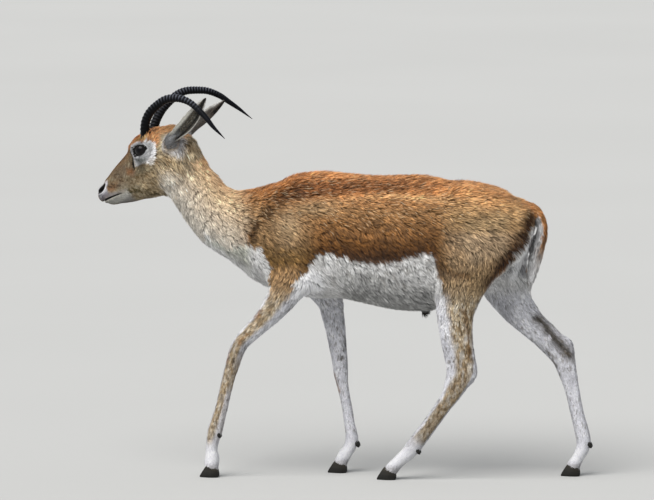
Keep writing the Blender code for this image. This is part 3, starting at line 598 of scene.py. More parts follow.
# ---------------------------------------------------------------- the animal's parts
FLESH = flesh()
HEADS = head_flesh()
EARS = ears()
CHAINS = [q for q in FLESH + HEADS if isinstance(q, Sweep)]
CHAINS = {q.name: q for q in CHAINS}
ORDER = ['trunk', 'neck', 'head', 'leg_fl', 'leg_fr', 'leg_hl', 'leg_hr', 'tail', 'ear_l', 'ear_r']
LEGS = ['leg_fl', 'leg_fr', 'leg_hl', 'leg_hr']
EYES = {1: head_point(*EYE_L_AT), -1: head_point(*EYE_R_AT)}
LID = 2.1
EYE_HALF, EYE_TOP, EYE_LOW = 22.0, 10.9, 12.2  # the opening, measured over the ball


def coronet(p):
    """Positive below the slanting tops of the hooves; p in metres."""
    out = np.full(len(p), -1.0)
    for fx, fy in FEET.values():
        m = (np.abs(p[:, 0] / MM - fx) < 48) & (np.abs(p[:, 1] / MM - fy) < 40) & (p[:, 2] < 0.06)
        if m.any():
            x = np.clip(p[m, 0] / MM - fx, -24, 24)
            out[m] = (31.0 - 11.0 * (x + 4.5) / 23.0 - 2.2) * MM - p[m, 2]
    return out


def eye_axes(sg):
    """Outward, along the lids to the front corner, and across them."""
    out = unit(0.16 * HEAD_F + 0.98 * sg * HEAD_S + 0.10 * HEAD_H)
    al = unit(HEAD_F + 0.22 * HEAD_H)
    al = unit(al - (al @ out) * out)
    up = np.cross(out, al)
    if up @ HEAD_H < 0:
        up = -up
    return out, al, up


def eye_local(p, sg):
    w = p - EYES[sg]
    out, al, up = eye_axes(sg)
    r = np.linalg.norm(w, axis=1) + 1e-9
    a, b, o = w @ al, w @ up, w @ out
    rho = np.hypot(a, b) + 1e-9
    k = np.arctan2(rho, o) / rho * EYE_R
    return r, a * k, b * k, o


def lid_gap(a, b):
    """Positive inside the opening between the lids, in millimetres."""
    q = np.clip(1 - (a / EYE_HALF) ** 2, 0, 1)
    upper = EYE_TOP * q ** 0.62
    lower = EYE_LOW * q ** 0.75
    d = np.minimum(upper - b, b + lower)
    return np.minimum(d, EYE_HALF - np.abs(a))


MOUTH = [(236, -12.5), (228, -12.8), (219, -14.0), (209, -15.4), (198, -17.0), (187, -19.2), (176, -21.5)]
SLIT = [(96, 38), (102, 32), (109, 21), (112, 8)]


def face_sink(p):
    """How far the skin of the face is pushed in for eyes, nostrils, lips and folds; p and result in metres."""
    out = np.zeros(len(p))
    q = p / MM
    f, s, h = head_local(q)
    i = np.nonzero((f > -60) & (f < 250) & (np.abs(s) < 75) & (np.abs(h) < 120))[0]
    if not len(i):
        return out
    q, f, s, h = q[i], f[i], s[i], h[i]
    d = np.zeros(len(i))
    for sg in (1, -1):
        side = s * sg
        r, a, b, o = eye_local(q, sg)
        gap = lid_gap(a, b)
        hole = step(-3.2, -1.8, gap) * (r < EYE_R + 9) * (o > 2)
        d += hole * 4.6
        ring = (r < 44) * (o > -6)
        d += ring * np.exp(-((gap + 8.5) / 2.2) ** 2) * (0.5 + 0.5 * (b > 0))
        # nostril: a slanting comma
        u = (f - 219.0) * 0.956 - (h - 13.5) * 0.293
        v = (f - 219.0) * 0.293 + (h - 13.5) * 0.956 - 0.012 * u * u
        k = np.sqrt((u / 13.5) ** 2 + (v / 4.6) ** 2)
        d += (step(1.10, 0.35, k) * 6.8 - np.exp(-((k - 1.5) / 0.35) ** 2) * 0.8) * (side > 3)
        # preorbital slit
        g, t = line_dist(f, h, SLIT)
        d += (np.exp(-(g / 1.6) ** 2) * 2.4 - np.exp(-((g - 4.6) / 2.0) ** 2) * 0.25) * (side > 12)
        g, t = line_dist(f, h, [(90, 38), (95, 38.5), (100, 35)])
        d += np.exp(-(g / 2.0) ** 2) * (side > 12) * 1.4
        # edge of the jaw muscle, and the crest under the eye towards the muzzle
        g, t = line_dist(f, h, [(96, 6), (88, -20), (84, -46)])
        d += np.exp(-(g / 10.0) ** 2) * (side > 10) * 1.6
        g, t = line_dist(f, h, [(70, -6), (104, -2), (138, -4)])
        d -= np.exp(-(g / 9.0) ** 2) * np.sin(np.pi * np.clip(t, 0, 1)) * (side > 12) * 1.2
    # mouth line with rounded lips
    g, t = line_dist(f, h, MOUTH)
    m = step(171, 181, f)
    d += (np.exp(-(g / 1.7) ** 2) * 3.4 - np.exp(-((g - 4.6) / 2.4) ** 2) * 0.7) * m
    # groove down the middle of the nose
    d += np.exp(-(s / 1.8) ** 2) * step(-12, -6, h) * step(20, 8, h) * step(203, 222, f) * 1.3
    out[i] = d * MM
    return out


CREASES = [  # x, z lines on the flanks; half-width, depth in mm (negative stands out)
    ([(213, 556), (215, 530), (221, 500), (228, 474)], 6.0, 3.6),
    ([(260, 714), (257, 697), (262, 672)], 9.0, -2.0),
    ([(249, 716), (246, 699), (248, 676)], 7.0, 1.8),
    ([(-60, 640), (-75, 600), (-84, 560), (-82, 530)], 14.0, 2.2),
    ([(-88, 520), (-100, 497), (-112, 472)], 8.0, 2.0),
    ([(-214, 610), (-205, 575), (-190, 545)], 10.0, 1.8),
    ([(225, 512), (250, 500), (285, 494)], 13.0, 1.6),
    ([(-150, 640), (-172, 600), (-182, 560)], 15.0, -1.6)]


def body_sink(p):
    out = np.zeros(len(p))
    q = p / MM
    m = np.nonzero((q[:, 2] > 440) & (q[:, 0] > -300) & (np.abs(q[:, 1]) > 45))[0]
    for pts, half, deep in CREASES:
        g, t = line_dist(q[m, 0], q[m, 2], pts)
        out[m] += np.exp(-(g / half) ** 2) * np.sin(np.pi * np.clip(t * 0.96 + 0.02, 0, 1)) ** 0.6 * deep * MM
    # cleft between the two claws
    m = np.nonzero(q[:, 2] < 62)[0]
    for fx, fy in FEET.values():
        near = (np.abs(q[m, 1] - fy) < 30) & (np.abs(q[m, 0] - fx) < 60)
        out[m] += np.exp(-((q[m, 1] - fy) / 3.2) ** 2) * step(58, 34, q[m, 2]) * near * 3.2 * MM
    # tendons stand clear behind the cannons
    for name in LEGS:
        c = CHAINS[name]
        m = np.nonzero((q[:, 2] > 105) & (q[:, 2] < 225) & (q[:, 1] * c.c[0, 1] > 0)
                       & np.all((p > c.lo - 0.01) & (p < c.hi + 0.01), axis=1))[0]
        _, a, b, _, r, _ = c.local(p[m])
        back = b / r[:, 1] * (1 if c.u[len(c.u) // 2, 0] > 0 else -1)
        w = np.exp(-((back - 0.10) / 0.18) ** 2) * (np.abs(a) > r[:, 0] * 0.6)
        out[m] += w * 1.5 * MM * step(225, 205, q[m, 2]) * step(105, 125, q[m, 2])
    return out


STUBS = [Sweep('stub_' + q.name, [tuple((q.root + q.a * q.len * t) / MM) + (w, w * 0.8, w * 0.8, 0.0)
                                  for t, w in ((-0.14, 13), (-0.04, 13), (0.03, 11.5), (0.08, 8.0))], 13)
         for q in EARS]
LIDS = [Blob('lid', EYES[sg], (EYE_R + 1.0,) * 3, 15) for sg in (1, -1)]


def skin_field(p, c):
    """Distance to the smooth skin: the solids' flesh drawn in by the coat's depth c."""
    d = field(p, FLESH + HEADS + STUBS) + c
    d = field(p, LIDS, start=d)
    return np.maximum(d, coronet(p))


def slope(p, c, eps=0.0008):
    g = np.stack([skin_field(p + e, c) - skin_field(p - e, c) for e in np.eye(3) * eps], axis=1) / (2 * eps)
    return g


def chain_dists(p):
    out = []
    for name in ORDER:
        q = CHAINS.get(name)
        if q is None:
            q = EARS[0 if name == 'ear_l' else 1]
        d = np.full(len(p), 0.12)
        m = np.nonzero(np.all((p > q.lo - 0.06) & (p < q.hi + 0.06), axis=1))[0]
        if len(m):
            d[m] = q.dist(p[m])
        out.append(d)
    return np.stack(out, axis=1)


def shares(p, tau=0.008):
    """How much each chain owns each point."""
    d = chain_dists(p)
    d[:, 8:] -= 0.002
    w = np.exp(-(d - d.min(axis=1, keepdims=True)) / tau)
    return w / w.sum(axis=1, keepdims=True)


def coat_depth(p, w):
    """Metres between the skin and the solids' outline, by region; p in metres."""
    q = p / MM
    f, s, h = head_local(q)
    z = q[:, 2]
    trunk = 8.5 + 1.5 * step(640, 700, z)
    neck = np.full(len(p), 8.0)
    head = np.interp(f, [-30, 10, 50, 85, 130, 180, 232], [6.5, 5.0, 3.8, 2.6, 2.0, 1.5, 1.0])
    head = head + 2.4 * step(-40, -70, h) * step(180, 120, f)
    leg = np.interp(z, [20, 90, 250, 330, 430, 520, 600], [1.4, 1.7, 2.2, 3.0, 5.0, 7.5, 8.5])
    tail = np.full(len(p), 3.6)
    ear = np.full(len(p), 1.2)
    c = (w[:, 0] * trunk + w[:, 1] * neck + w[:, 2] * head + w[:, 3:7].sum(axis=1) * leg
         + w[:, 7] * tail + w[:, 8:].sum(axis=1) * ear)
    return c * MM


# ---------------------------------------------------------------- the skin
def tube_of(sweep, n=18):
    rings = []
    for j in range(0, len(sweep.c)):
        ring = []
        for i in range(n):
            t = 2 * math.pi * i / n
            up = sweep.r[j, 1] if math.sin(t) > 0 else sweep.r[j, 2]
            side = sweep.r[j, 0] * (1 + sweep.g[j] * math.sin(t))
            ring.append(sweep.c[j] + sweep.s[j] * side * math.cos(t) + sweep.u[j] * up * math.sin(t))
        rings.append(ring)
    return loft(rings)


def leaf_of(leaf, n=16, grow=0.0):
    rows = curve_through(EAR, 3)
    rings = []
    for j, (f, hw, ht, cup) in enumerate(rows):
        hw, ht, cup = hw * MM + grow, ht * MM + grow, cup * MM
        at = leaf.root + leaf.a * (leaf.len * f) + leaf.w * leaf.shift(f)
        rings.append([at + leaf.w * hw * math.cos(2 * math.pi * (i + 0.5) / n)
                      + leaf.n * (cup * math.cos(2 * math.pi * (i + 0.5) / n) ** 2 + ht * math.sin(2 * math.pi * (i + 0.5) / n))
                      for i in range(n)])
    return loft(rings)


def ball_mesh(c, r, axes, u=20, v=12):
    verts, faces = [], []
    rings = []
    for j in range(1, v):
        t = math.pi * j / v
        rings.append([np.array(c) + (np.array([math.sin(t) * math.cos(2 * math.pi * i / u),
                                               math.sin(t) * math.sin(2 * math.pi * i / u), math.cos(t)]) * r) @ axes
                      for i in range(u)])
    return loft(rings)


verts, faces = [], []
shapes = [tube_of(q) for q in list(CHAINS.values()) + STUBS]
shapes += [ball_mesh(q.c, q.r * 0.98, q.m) for q in FLESH + HEADS if isinstance(q, Blob)]
shapes += [ball_mesh(EYES[sg] * MM, np.full(3, (EYE_R + LID) * MM), np.eye(3)) for sg in (1, -1)]
for v, f in shapes:
    at = len(verts)
    verts += list(v)
    faces += [[i + at for i in g] for g in f]
skin = new_object('skin', verts, faces)
faces_out(skin)
m = skin.modifiers.new('whole', 'REMESH')
m.mode = 'VOXEL'
m.voxel_size = 0.0058
baked(skin)
clock('skin voxels %d' % len(skin.data.polygons))

pts = coords(skin)
pts = smoothed(skin, pts, 2, 0.5)
depth = coat_depth(pts, shares(pts))
for turn in range(2):
    g = slope(pts, depth)
    g /= np.maximum(np.einsum('ij,ij->i', g, g), 0.3)[:, None]
    for _ in range(2):
        pts = pts - np.clip(skin_field(pts, depth), -0.009, 0.009)[:, None] * g
    pts = smoothed(skin, pts, 3 - turn, 0.4)
set_coords(skin, pts)
clock('skin settled')


def refine(ob, test):
    """Splits every edge whose two ends pass the test."""
    ok = test(coords(ob) / MM)
    bm = bmesh.new()
    bm.from_mesh(ob.data)
    bm.verts.ensure_lookup_table()
    edges = [e for e in bm.edges if ok[e.verts[0].index] and ok[e.verts[1].index]]
    bmesh.ops.subdivide_edges(bm, edges=edges, cuts=1, use_grid_fill=True)
    bm.to_mesh(ob.data)
    bm.free()
    print('refined to', len(ob.data.polygons), flush=True)


def whole_head(q):
    f, s, h = head_local(q)
    return ((f > -40) & (np.abs(s) < 90) & (h > -120)) | (q[:, 2] < 66)


def face_only(q):
    f, s, h = head_local(q)
    eye = np.minimum(np.linalg.norm(q - EYES[1], axis=1), np.linalg.norm(q - EYES[-1], axis=1)) < 31
    muzzle = (f > 160) & (np.abs(s) < 60)
    gland = (f > 84) & (f < 124) & (np.abs(s) > 12) & (h > -6) & (h < 46)
    return eye | muzzle | gland


def lips_only(q):
    f, s, h = head_local(q)
    g, _ = line_dist(f, h, MOUTH)
    lips = (g < 6.5) & (f > 168)
    nose = (np.abs(f - 219) < 18) & (np.abs(h - 13.5) < 11) & (np.abs(s) > 3) & (np.abs(s) < 40)
    g, _ = line_dist(f, h, SLIT)
    return lips | nose | ((g < 5) & (np.abs(s) > 12) & (np.abs(s) < 60))


refine(skin, whole_head)
refine(skin, face_only)
refine(skin, lips_only)
pts = coords(skin)
pts = smoothed(skin, pts, 2, 0.45, whole_head(pts / MM).astype(float))
set_coords(skin, pts)
share = shares(pts)
depth = coat_depth(pts, share)
i = np.nonzero(whole_head(pts / MM))[0]
for turn in range(2):
    n = normals(skin)
    pts[i] -= np.clip(skin_field(pts[i], depth[i]), -0.003, 0.003)[:, None] * n[i]
    set_coords(skin, pts)
pts = smoothed(skin, pts, 1, 0.3)
set_coords(skin, pts)
n = normals(skin)
pts = pts - (face_sink(pts) + body_sink(pts))[:, None] * n
set_coords(skin, pts)
bm = bmesh.new()
bm.from_mesh(skin.data)
bmesh.ops.triangulate(bm, faces=[f for f in bm.faces if len(f.verts) > 4])
bm.to_mesh(skin.data)
bm.free()
clock('skin shaped, %d faces' % len(skin.data.polygons))


# lids: a smooth rim round each eye's opening
def lid_rim(sg, n=64):
    out, al, up = eye_axes(sg)
    loop = []
    for i in range(n):
        t = 2 * math.pi * i / n
        a = EYE_HALF * math.cos(t)
        k = max(1 - (a / EYE_HALF) ** 2, 0.0)
        b = EYE_TOP * k ** 0.62 if math.sin(t) >= 0 else -EYE_LOW * k ** 0.75
        loop.append((a, b))
    loop = np.array(loop)
    nxt, prv = np.roll(loop, -1, axis=0), np.roll(loop, 1, axis=0)
    t = nxt - prv
    nn = np.stack([t[:, 1], -t[:, 0]], axis=1)
    nn /= np.linalg.norm(nn, axis=1)[:, None]
    for _ in range(3):
        nn = nn + np.roll(nn, 1, axis=0) + np.roll(nn, -1, axis=0)
        nn /= np.linalg.norm(nn, axis=1)[:, None]
    rings = []
    #          out from the edge, height over the ball
    for off, high in ((-1.4, -1.2), (-0.4, 0.0), (0.0, 0.6), (0.4, 1.05), (1.1, 1.45), (2.1, 1.75),
                      (3.2, 1.75), (4.2, 1.3), (5.2, 0.4)):
        ring = []
        for (a, b), m in zip(loop, nn):
            a2, b2 = a + m[0] * off, b + m[1] * off
            r = EYE_R + high
            ang = math.hypot(a2, b2) / EYE_R
            k = math.sin(ang) / max(math.hypot(a2, b2), 1e-6)
            v = out * math.cos(ang) + (al * a2 + up * b2) * k
            ring.append((EYES[sg] + v * r) * MM)
        rings.append(ring)
    return loft(rings, caps=False)


# ears: curled leaves that grow out of the head
EAR_CUP = [(-0.06, 17, 2.6), (0.06, 18, 2.4), (0.18, 16, 2.2), (0.35, 13, 1.9), (0.60, 10.5, 1.7), (0.80, 7, 1.5),
           (0.93, 3, 1.3), (1.0, 0.8, 1.0)]


def ear_leaf(leaf, n=30):
    ts = np.concatenate([np.linspace(-0.10, 0.9, 30), np.linspace(0.92, 0.995, 8)])
    c = np.asarray(EAR_CUP, float)
    rings = []
    for t in ts:
        tc = max(t, 0.0)
        hw = np.interp(tc, leaf.f, leaf.rr[:, 0]) - 0.0008
        if t > 0.9:
            hw *= math.sqrt(max(1 - ((t - 0.9) / 0.1) ** 2 * 0.75, 0.02))
        cup = np.interp(t, c[:, 0], c[:, 1]) * MM
        ht = np.interp(t, c[:, 0], c[:, 2]) * MM
        at = leaf.root + leaf.a * (leaf.len * t) + leaf.w * leaf.shift(t)
        # cupped edges, with fine ribs across the leaf
        ring = []
        for i in range(n):
            ang = 2 * math.pi * (i + 0.5) / n
            b = math.cos(ang)
            x = math.copysign(abs(b) ** 0.8, b)
            rib = 0.25 * MM * math.cos(x * 9.0) * (1 - x * x)
            ring.append(at + leaf.w * hw * x + leaf.n * (cup * (x * x - 0.35 * step(0.35, 0.0, t)) + ht * math.sin(ang) + rib))
        rings.append(ring)
    return loft(rings)


extra = [ear_leaf(q) for q in EARS] + [lid_rim(1), lid_rim(-1)]
LOOSE = len(skin.data.vertices)
bm = bmesh.new()
bm.from_mesh(skin.data)
for v, f in extra:
    t = bpy.data.meshes.new('t')
    t.from_pydata([tuple(p) for p in v], [], [tuple(g) for g in f])
    b2 = bmesh.new()
    b2.from_mesh(t)
    bmesh.ops.recalc_face_normals(b2, faces=b2.faces)
    b2.to_mesh(t)
    b2.free()
    bm.from_mesh(t)
    bpy.data.meshes.remove(t)
bm.to_mesh(skin.data)
bm.free()
smooth_shade(skin)
pts = coords(skin)
nrm = normals(skin)
for sg in (1, -1):  # the open lid rims face away from the eye
    m = np.nonzero((np.arange(len(pts)) >= LOOSE) & (np.linalg.norm(pts / MM - EYES[sg], axis=1) < 30))[0]
    if np.einsum('ij,ij->i', nrm[m], pts[m] / MM - EYES[sg]).mean() < 0:
        inside = np.zeros(len(pts), dtype=bool)
        inside[m] = True
        bm = bmesh.new()
        bm.from_mesh(skin.data)
        bm.verts.ensure_lookup_table()
        bmesh.ops.reverse_faces(bm, faces=[f for f in bm.faces if all(inside[v.index] for v in f.verts)])
        bm.to_mesh(skin.data)
        bm.free()
        nrm = normals(skin)
share = np.vstack([share, shares(pts[LOOSE:])])
if len(share) != len(pts):
    share = shares(pts)
depth = coat_depth(pts, share)
clock('skin done, %d faces' % len(skin.data.polygons))


# ---------------------------------------------------------------- colours of the coat, as linear values
def srgb(r, g, b):
    c = np.array([r, g, b]) / 255.0
    return np.where(c <= 0.04045, c / 12.92, ((c + 0.055) / 1.055) ** 2.4)


def ramp(x, *stops):
    """Colour along x from (x, (r, g, b)) stops."""
    k = [s[0] for s in stops]
    c = np.array([srgb(*s[1]) for s in stops])
    return np.stack([np.interp(x, k, c[:, i]) for i in range(3)], axis=1)


def lay(col, colour, weight):
    c = colour if isinstance(colour, np.ndarray) and colour.ndim == 2 else srgb(*colour)
    col += (c - col) * np.clip(weight, 0, 1)[:, None]


BROWN = [(-335, 592), (-310, 571), (-275, 558), (-248, 564), (-209, 564), (-192, 545), (-178, 524), (-174, 492),
         (-170, 440), (-135, 430), (-123, 447), (-113, 472), (-103, 496), (-78, 529), (-64, 550), (-39, 553),
         (-15, 548), (10, 542), (34, 535), (70, 533), (107, 534), (131, 539), (155, 546), (179, 554), (203, 554),
         (215, 542), (224, 510), (239, 486), (245, 462), (247, 437), (254, 400), (330, 400), (353, 448),
         (369, 473), (395, 512), (409, 542), (427, 573), (443, 598), (456, 612), (520, 640), (520, 900),
         (-560, 900), (-560, 520), (-350, 520)]
SADDLE = [(-195, 659), (-164, 684), (-129, 703), (-81, 711), (-9, 712), (63, 712), (136, 713), (184, 712), (245, 704),
          (236, 694), (138, 694), (66, 688), (-6, 682), (-79, 676), (-139, 670)]
STRIPE = [(-60, 664), (0, 672), (91, 681), (139, 678), (200, 674), (262, 670)]
SCAPULA_EDGE_SHADOW = [(-104, 695), (-150, 676), (-175, 655), (-210, 612), (-235, 575)]


def paint_body(q, n, w):
    x, y, z = q.T
    low = step(560, 440, z) * (y > 0)
    xs = x - np.where(x < 110, 75, 105) * low
    rag = (noise(q, (9, 9, 16), 3) - 0.5) * 11 + (noise(q, (3.2, 3.2, 6), 5) - 0.5) * 7
    d = area_dist(xs, z, BROWN) + rag
    g1 = noise(q, (28, 28, 20), 11)
    g2 = noise(q, (9, 9, 6), 12)
    white = ramp(g1 * 0.5 + g2 * 0.5, (0.15, (190, 189, 187)), (0.5, (216, 215, 214)), (0.9, (232, 231, 230)))
    col = white.copy()
    # dark vertical streaks through the belly: painted shade between the tufts
    for pts, half in (([(-29, 500), (-29, 470)], 9), ([(20, 505), (22, 485)], 8), ([(93, 495), (95, 470)], 9),
                      ([(141, 485), (143, 460)], 8), ([(-75, 500), (-66, 470)], 8)):
        g, t = line_dist(xs, z, pts)
        lay(col, (120, 112, 100), bump(g, 0, half) * step(0.35, 0.75, g2) * 0.55)
    lay(col, (128, 122, 112), step(0.66, 0.82, noise(q, (3.0, 3.0, 9), 15)) * 0.55 * step(600, 560, z))
    lay(col, (176, 178, 160), step(-215, -240, x) * step(600, 560, z) * 0.6)
    brown = ramp(z, (520, (96, 62, 30)), (552, (104, 69, 36)), (585, (126, 88, 50)), (620, (146, 106, 68)),
                 (655, (163, 122, 84)), (690, (176, 129, 88)), (712, (194, 146, 104)), (740, (200, 152, 110)))
    shoulder = ramp(z, (450, (148, 122, 86)), (520, (158, 125, 86)), (560, (161, 132, 98)), (600, (166, 138, 110)),
                    (640, (160, 126, 94)), (680, (166, 118, 76)), (712, (190, 138, 94)), (740, (198, 150, 108)))
    rear = ramp(z, (430, (152, 134, 108)), (500, (146, 122, 92)), (540, (146, 122, 94)), (600, (158, 132, 104)),
                (640, (172, 140, 106)), (680, (188, 146, 106)), (720, (200, 154, 112)))
    lay(brown, shoulder, step(-50, -125, x))
    lay(brown, rear, step(205, 265, x))
    s = area_dist(x, z, SADDLE) + (noise(q, (14, 14, 7), 21) - 0.5) * 14
    lay(brown, (104, 66, 38), step(5, -5, s) * np.interp(x, [-195, -120, 120, 250], [0.5, 0.85, 0.7, 0.25]))
    g, t = line_dist(x, z, STRIPE)
    lay(brown, (206, 170, 132), bump(g, 0, 11) * np.interp(x, [-80, -20, 60, 110, 240, 275], [0, 0.35, 0.55, 0.85, 0.8, 0]))
    k = np.hypot((x + 75) / 78, (z - 655) / 26)
    lay(brown, (160, 136, 110), step(1.1, 0.3, k) * 0.6)
    # painted shadow: a dark band along the front edge of the shoulder blade
    g, t = line_dist(x, z, SCAPULA_EDGE_SHADOW)
    lay(brown, (82, 54, 26), bump(g, 0, 26) * 0.85 * step(0.10, 0.5, noise(q, (8, 8, 12), 22)))
    k = np.hypot((x + 140) / 40, (z - 605) / 50)
    lay(brown, (192, 170, 148), step(1.1, 0.2, k) * 0.7)
    k = np.hypot((x - 289) / 34, (z - 664) / 24)
    lay(brown, (210, 172, 132), step(1.1, 0.3, k) * 0.55)
    g, t = line_dist(x, z, [(270, 716), (254, 699)])
    lay(brown, (122, 80, 46), bump(g, 0, 7) * 0.6)
    s = area_dist(xs, z, [(286, 631), (381, 642), (382, 558), (311, 530), (275, 583)])
    lay(brown, (176, 154, 128), step(14, -14, s) * 0.6)
    # painted shade in the fold in front of the stifle
    g, t = line_dist(xs, z, [(229, 530), (263, 511), (300, 508)])
    lay(brown, (100, 72, 40), bump(g, 0, 15) * 0.8)
    # painted shade: a dark band along the white edge of the rump, at the back of the thigh
    g, t = line_dist(xs, z, [(446, 650), (430, 612), (396, 557), (374, 516), (356, 484)])
    lay(brown, (62, 36, 12), bump(g, 0, 32) * 0.98)
    g, t = line_dist(xs, z, [(386, 515), (358, 470), (340, 440)])
    lay(brown, (186, 136, 86), bump(g, 0, 16) * 0.7)
    lay(brown, (92, 60, 28), bump(d, -8, 12) * step(-60, -30, x) * step(230, 205, x) * 0.5)
    lay(brown, (200, 150, 104), step(722, 735, z) * 0.5)
    # deeper low on the flank, warmer along the back
    k = np.stack([np.interp(z, [430, 500, 530, 556, 600, 650, 690, 740], c) for c in
                  ((1.0, 0.80, 0.50, 0.52, 0.80, 0.98, 1.12, 1.16), (1.0, 0.76, 0.43, 0.45, 0.73, 0.96, 0.96, 0.98),
                   (0.95, 0.64, 0.22, 0.26, 0.55, 0.80, 0.74, 0.76))], axis=1)
    m = (step(215, 260, x) * step(620, 590, z))[:, None]
    brown *= k * (1 - m) + np.array([0.92, 0.90, 0.84]) * m
    m = (step(-60, -120, x) * step(600, 560, z))[:, None]
    brown *= 1 + (np.array([1.25, 1.30, 1.6]) - 1) * m
    # the neck, paler down its front
    nape = w[:, 10]
    neck = ramp(nape, (-0.95, (206, 200, 190)), (-0.5, (206, 197, 183)), (0.1, (199, 181, 157)), (0.55, (207, 180, 144)),
                (0.85, (226, 188, 146)), (1.0, (230, 180, 130)))
    lay(neck, (212, 206, 196), step(645, 590, z) * step(-0.2, -0.8, nape) * 0.8)
    lay(brown, neck, step(-214, -268, x + (noise(q, (16, 16, 16), 24) - 0.5) * 26 + np.interp(z, [640, 690, 720], [0, 14, 40])))
    lay(col, brown, step(3.5, -3.5, d + 9 * step(370, 396, x) * step(640, 610, z)))
    lay(col, (84, 78, 70), bump(line_dist(x, z, [(-279, 551), (-273, 543)])[0], 0, 5) * 0.8 * (y < 0))
    # bare, pale insides of the legs and groin
    inner = step(0.05, 0.45, -n[:, 1] * np.sign(y)) * step(560, 500, z)
    under = step(-0.45, -0.75, n[:, 2]) * step(600, 560, z)
    lay(col, white, np.maximum(inner, under * (x > -350)))
    # painted shade: grey on the downward-facing belly
    lay(col, (138, 138, 136), step(0.05, -0.75, n[:, 2]) * step(600, 520, z) * step(-40, 20, x) * (x < 300) * 0.75)
    # painted shade: grey on the inner sides of the thighs
    lay(col, (100, 101, 104), step(470, 510, z) * step(570, 535, z) * step(290, 330, x) * inner * 0.8)
    k = np.hypot((x + 92) / 46, (z - 478) / 46)
    lay(col, (252, 252, 255), step(1.1, 0.5, k) * step(2, 8, d) * 0.9)
    g = np.linalg.norm((q - np.array([189, 0, 391])) / np.array([15, 15, 13]), axis=1)
    lay(col, (30, 23, 18), step(1.35, 0.9, g) * 0.98)
    return col


def paint_legs(q, n, w):
    x, y, z = q.T
    o, fr = w[:, 11], w[:, 12]
    hind = (w[:, 5] + w[:, 6]) > (w[:, 3] + w[:, 4])
    g1 = noise(q, (14, 14, 26), 31)
    g2 = noise(q, (2.6, 2.6, 7), 32)
    white = ramp(g1, (0.1, (204, 204, 210)), (0.5, (220, 220, 226)), (0.9, (232, 232, 238)))
    tan = ramp(z, (60, (196, 184, 168)), (110, (184, 168, 144)), (200, (186, 164, 132)), (300, (176, 156, 126)),
               (420, (178, 160, 132)))
    lay(tan, (116, 94, 66), step(0.48, 0.76, g2) * np.where(hind, 0.8, 0.6))
    lay(tan, (214, 206, 192), step(0.46, 0.15, g2) * 0.7)
    g3 = noise(q, (6, 6, 22), 37)
    lay(tan, (206, 202, 196), step(0.50, 0.78, g3) * step(400, 360, z) * np.where(hind, 0.40 + 0.3 * step(240, 290, z), 0.25))
    tan *= np.where(hind, 1 - 0.16 * step(260, 220, z), 1.0)[:, None]
    col = white.copy()
    out = step(-0.25, 0.30, o + (g1 - 0.5) * 0.3)
    fore = out * step(np.interp(z, [260, 330], [0.86, 0.78]), np.interp(z, [260, 330], [0.66, 0.56]), fr) * (1 - step(250, 330, z) * step(-0.10, -0.5, fr))
    fore *= 1 - step(235, 200, z) * step(0.0, -0.4, fr) * 0.75
    back = out * step(0.52, 0.16, fr + (g1 - 0.5) * 0.2 - 0.25 * step(270, 220, z)) * step(-0.98, -0.80, fr - 0.12 * step(345, 300, z))
    up = step(74, 112, z + (g1 - 0.5) * 34)
    lay(col, tan, np.where(hind, back, fore) * up)
    lay(col, (196, 184, 164), step(110, 70, z) * out * 0.1)
    lay(col, (248, 248, 254), step(98, 62, z) * 0.75)
    for p0, p1, half, c, k in (((-188, 412), (-204, 392), 10, (140, 96, 54), 0.8), ((-273, 316), (-280, 286), 9, (150, 98, 46), 0.9),
                              ((-256, 298), (-262, 284), 6, (64, 52, 42), 0.8), ((-224, 352), (-246, 330), 9, (150, 108, 64), 0.6)):
        g, t = line_dist(x, z, [p0, p1])
        lay(col, c, bump(g, 0, half) * (y < 0) * (~hind) * step(-0.2, 0.3, o) * k * step(0.2, 0.5, noise(q, (4, 4, 8), 38)))
    # brown streak on the near gaskin, dark one behind the far hock
    g, t = line_dist(x, z, [(292, 420), (299, 364), (303, 320), (300, 290)])
    lay(col, (118, 88, 54), bump(g, 0, 11) * (y < 0) * hind * step(0.2, 0.6, o) * step(0.25, 0.6, noise(q, (6, 6, 14), 33)) * 0.8)
    for sg in (1, -1):
        dx = 0 if sg > 0 else -206
        g, t = line_dist(x - dx, z, [(450, 384), (470, 362), (490, 338), (515, 312), (531, 296)])
        lay(col, (70, 64, 56), bump(g, 0, 22) * (y * sg > 0) * hind * step(0.3, -0.3, o) * step(0.02, 0.30, noise(q, (5, 5, 9), 34)) * 0.97)
        g, t = line_dist(x - dx, z, [(476, 300), (492, 276), (504, 250)])
        lay(col, (92, 86, 78), bump(g, 0, 13) * (y * sg > 0) * hind * step(0.3, -0.3, o) * step(0.25, 0.55, noise(q, (5, 5, 9), 39)) * 0.8)
    g, t = line_dist(x, z, [(-38, 240), (-34, 222), (-26, 202)])
    lay(col, (140, 98, 58), bump(g, 0, 12) * (y > 0) * (~hind) * 0.95)
    g, t = line_dist(x, z, [(-8, 330), (-14, 300), (-18, 280)])
    lay(col, (84, 80, 74), bump(g, 0, 9) * (y > 0) * (~hind) * 0.85 * step(0.2, 0.5, g2))
    # flecks
    lay(col, (98, 88, 74), step(0.65, 0.82, noise(q, (2.4, 2.4, 6), 35)) * 0.6 * step(70, 110, z))
    lay(col, (110, 98, 80), bump(z, 290, 24) * hind * step(0.5, 0.8, noise(q, (5, 5, 7), 36)) * 0.5)
    lay(col, (96, 88, 74), step(44, 26, z) * 0.45)
    return col


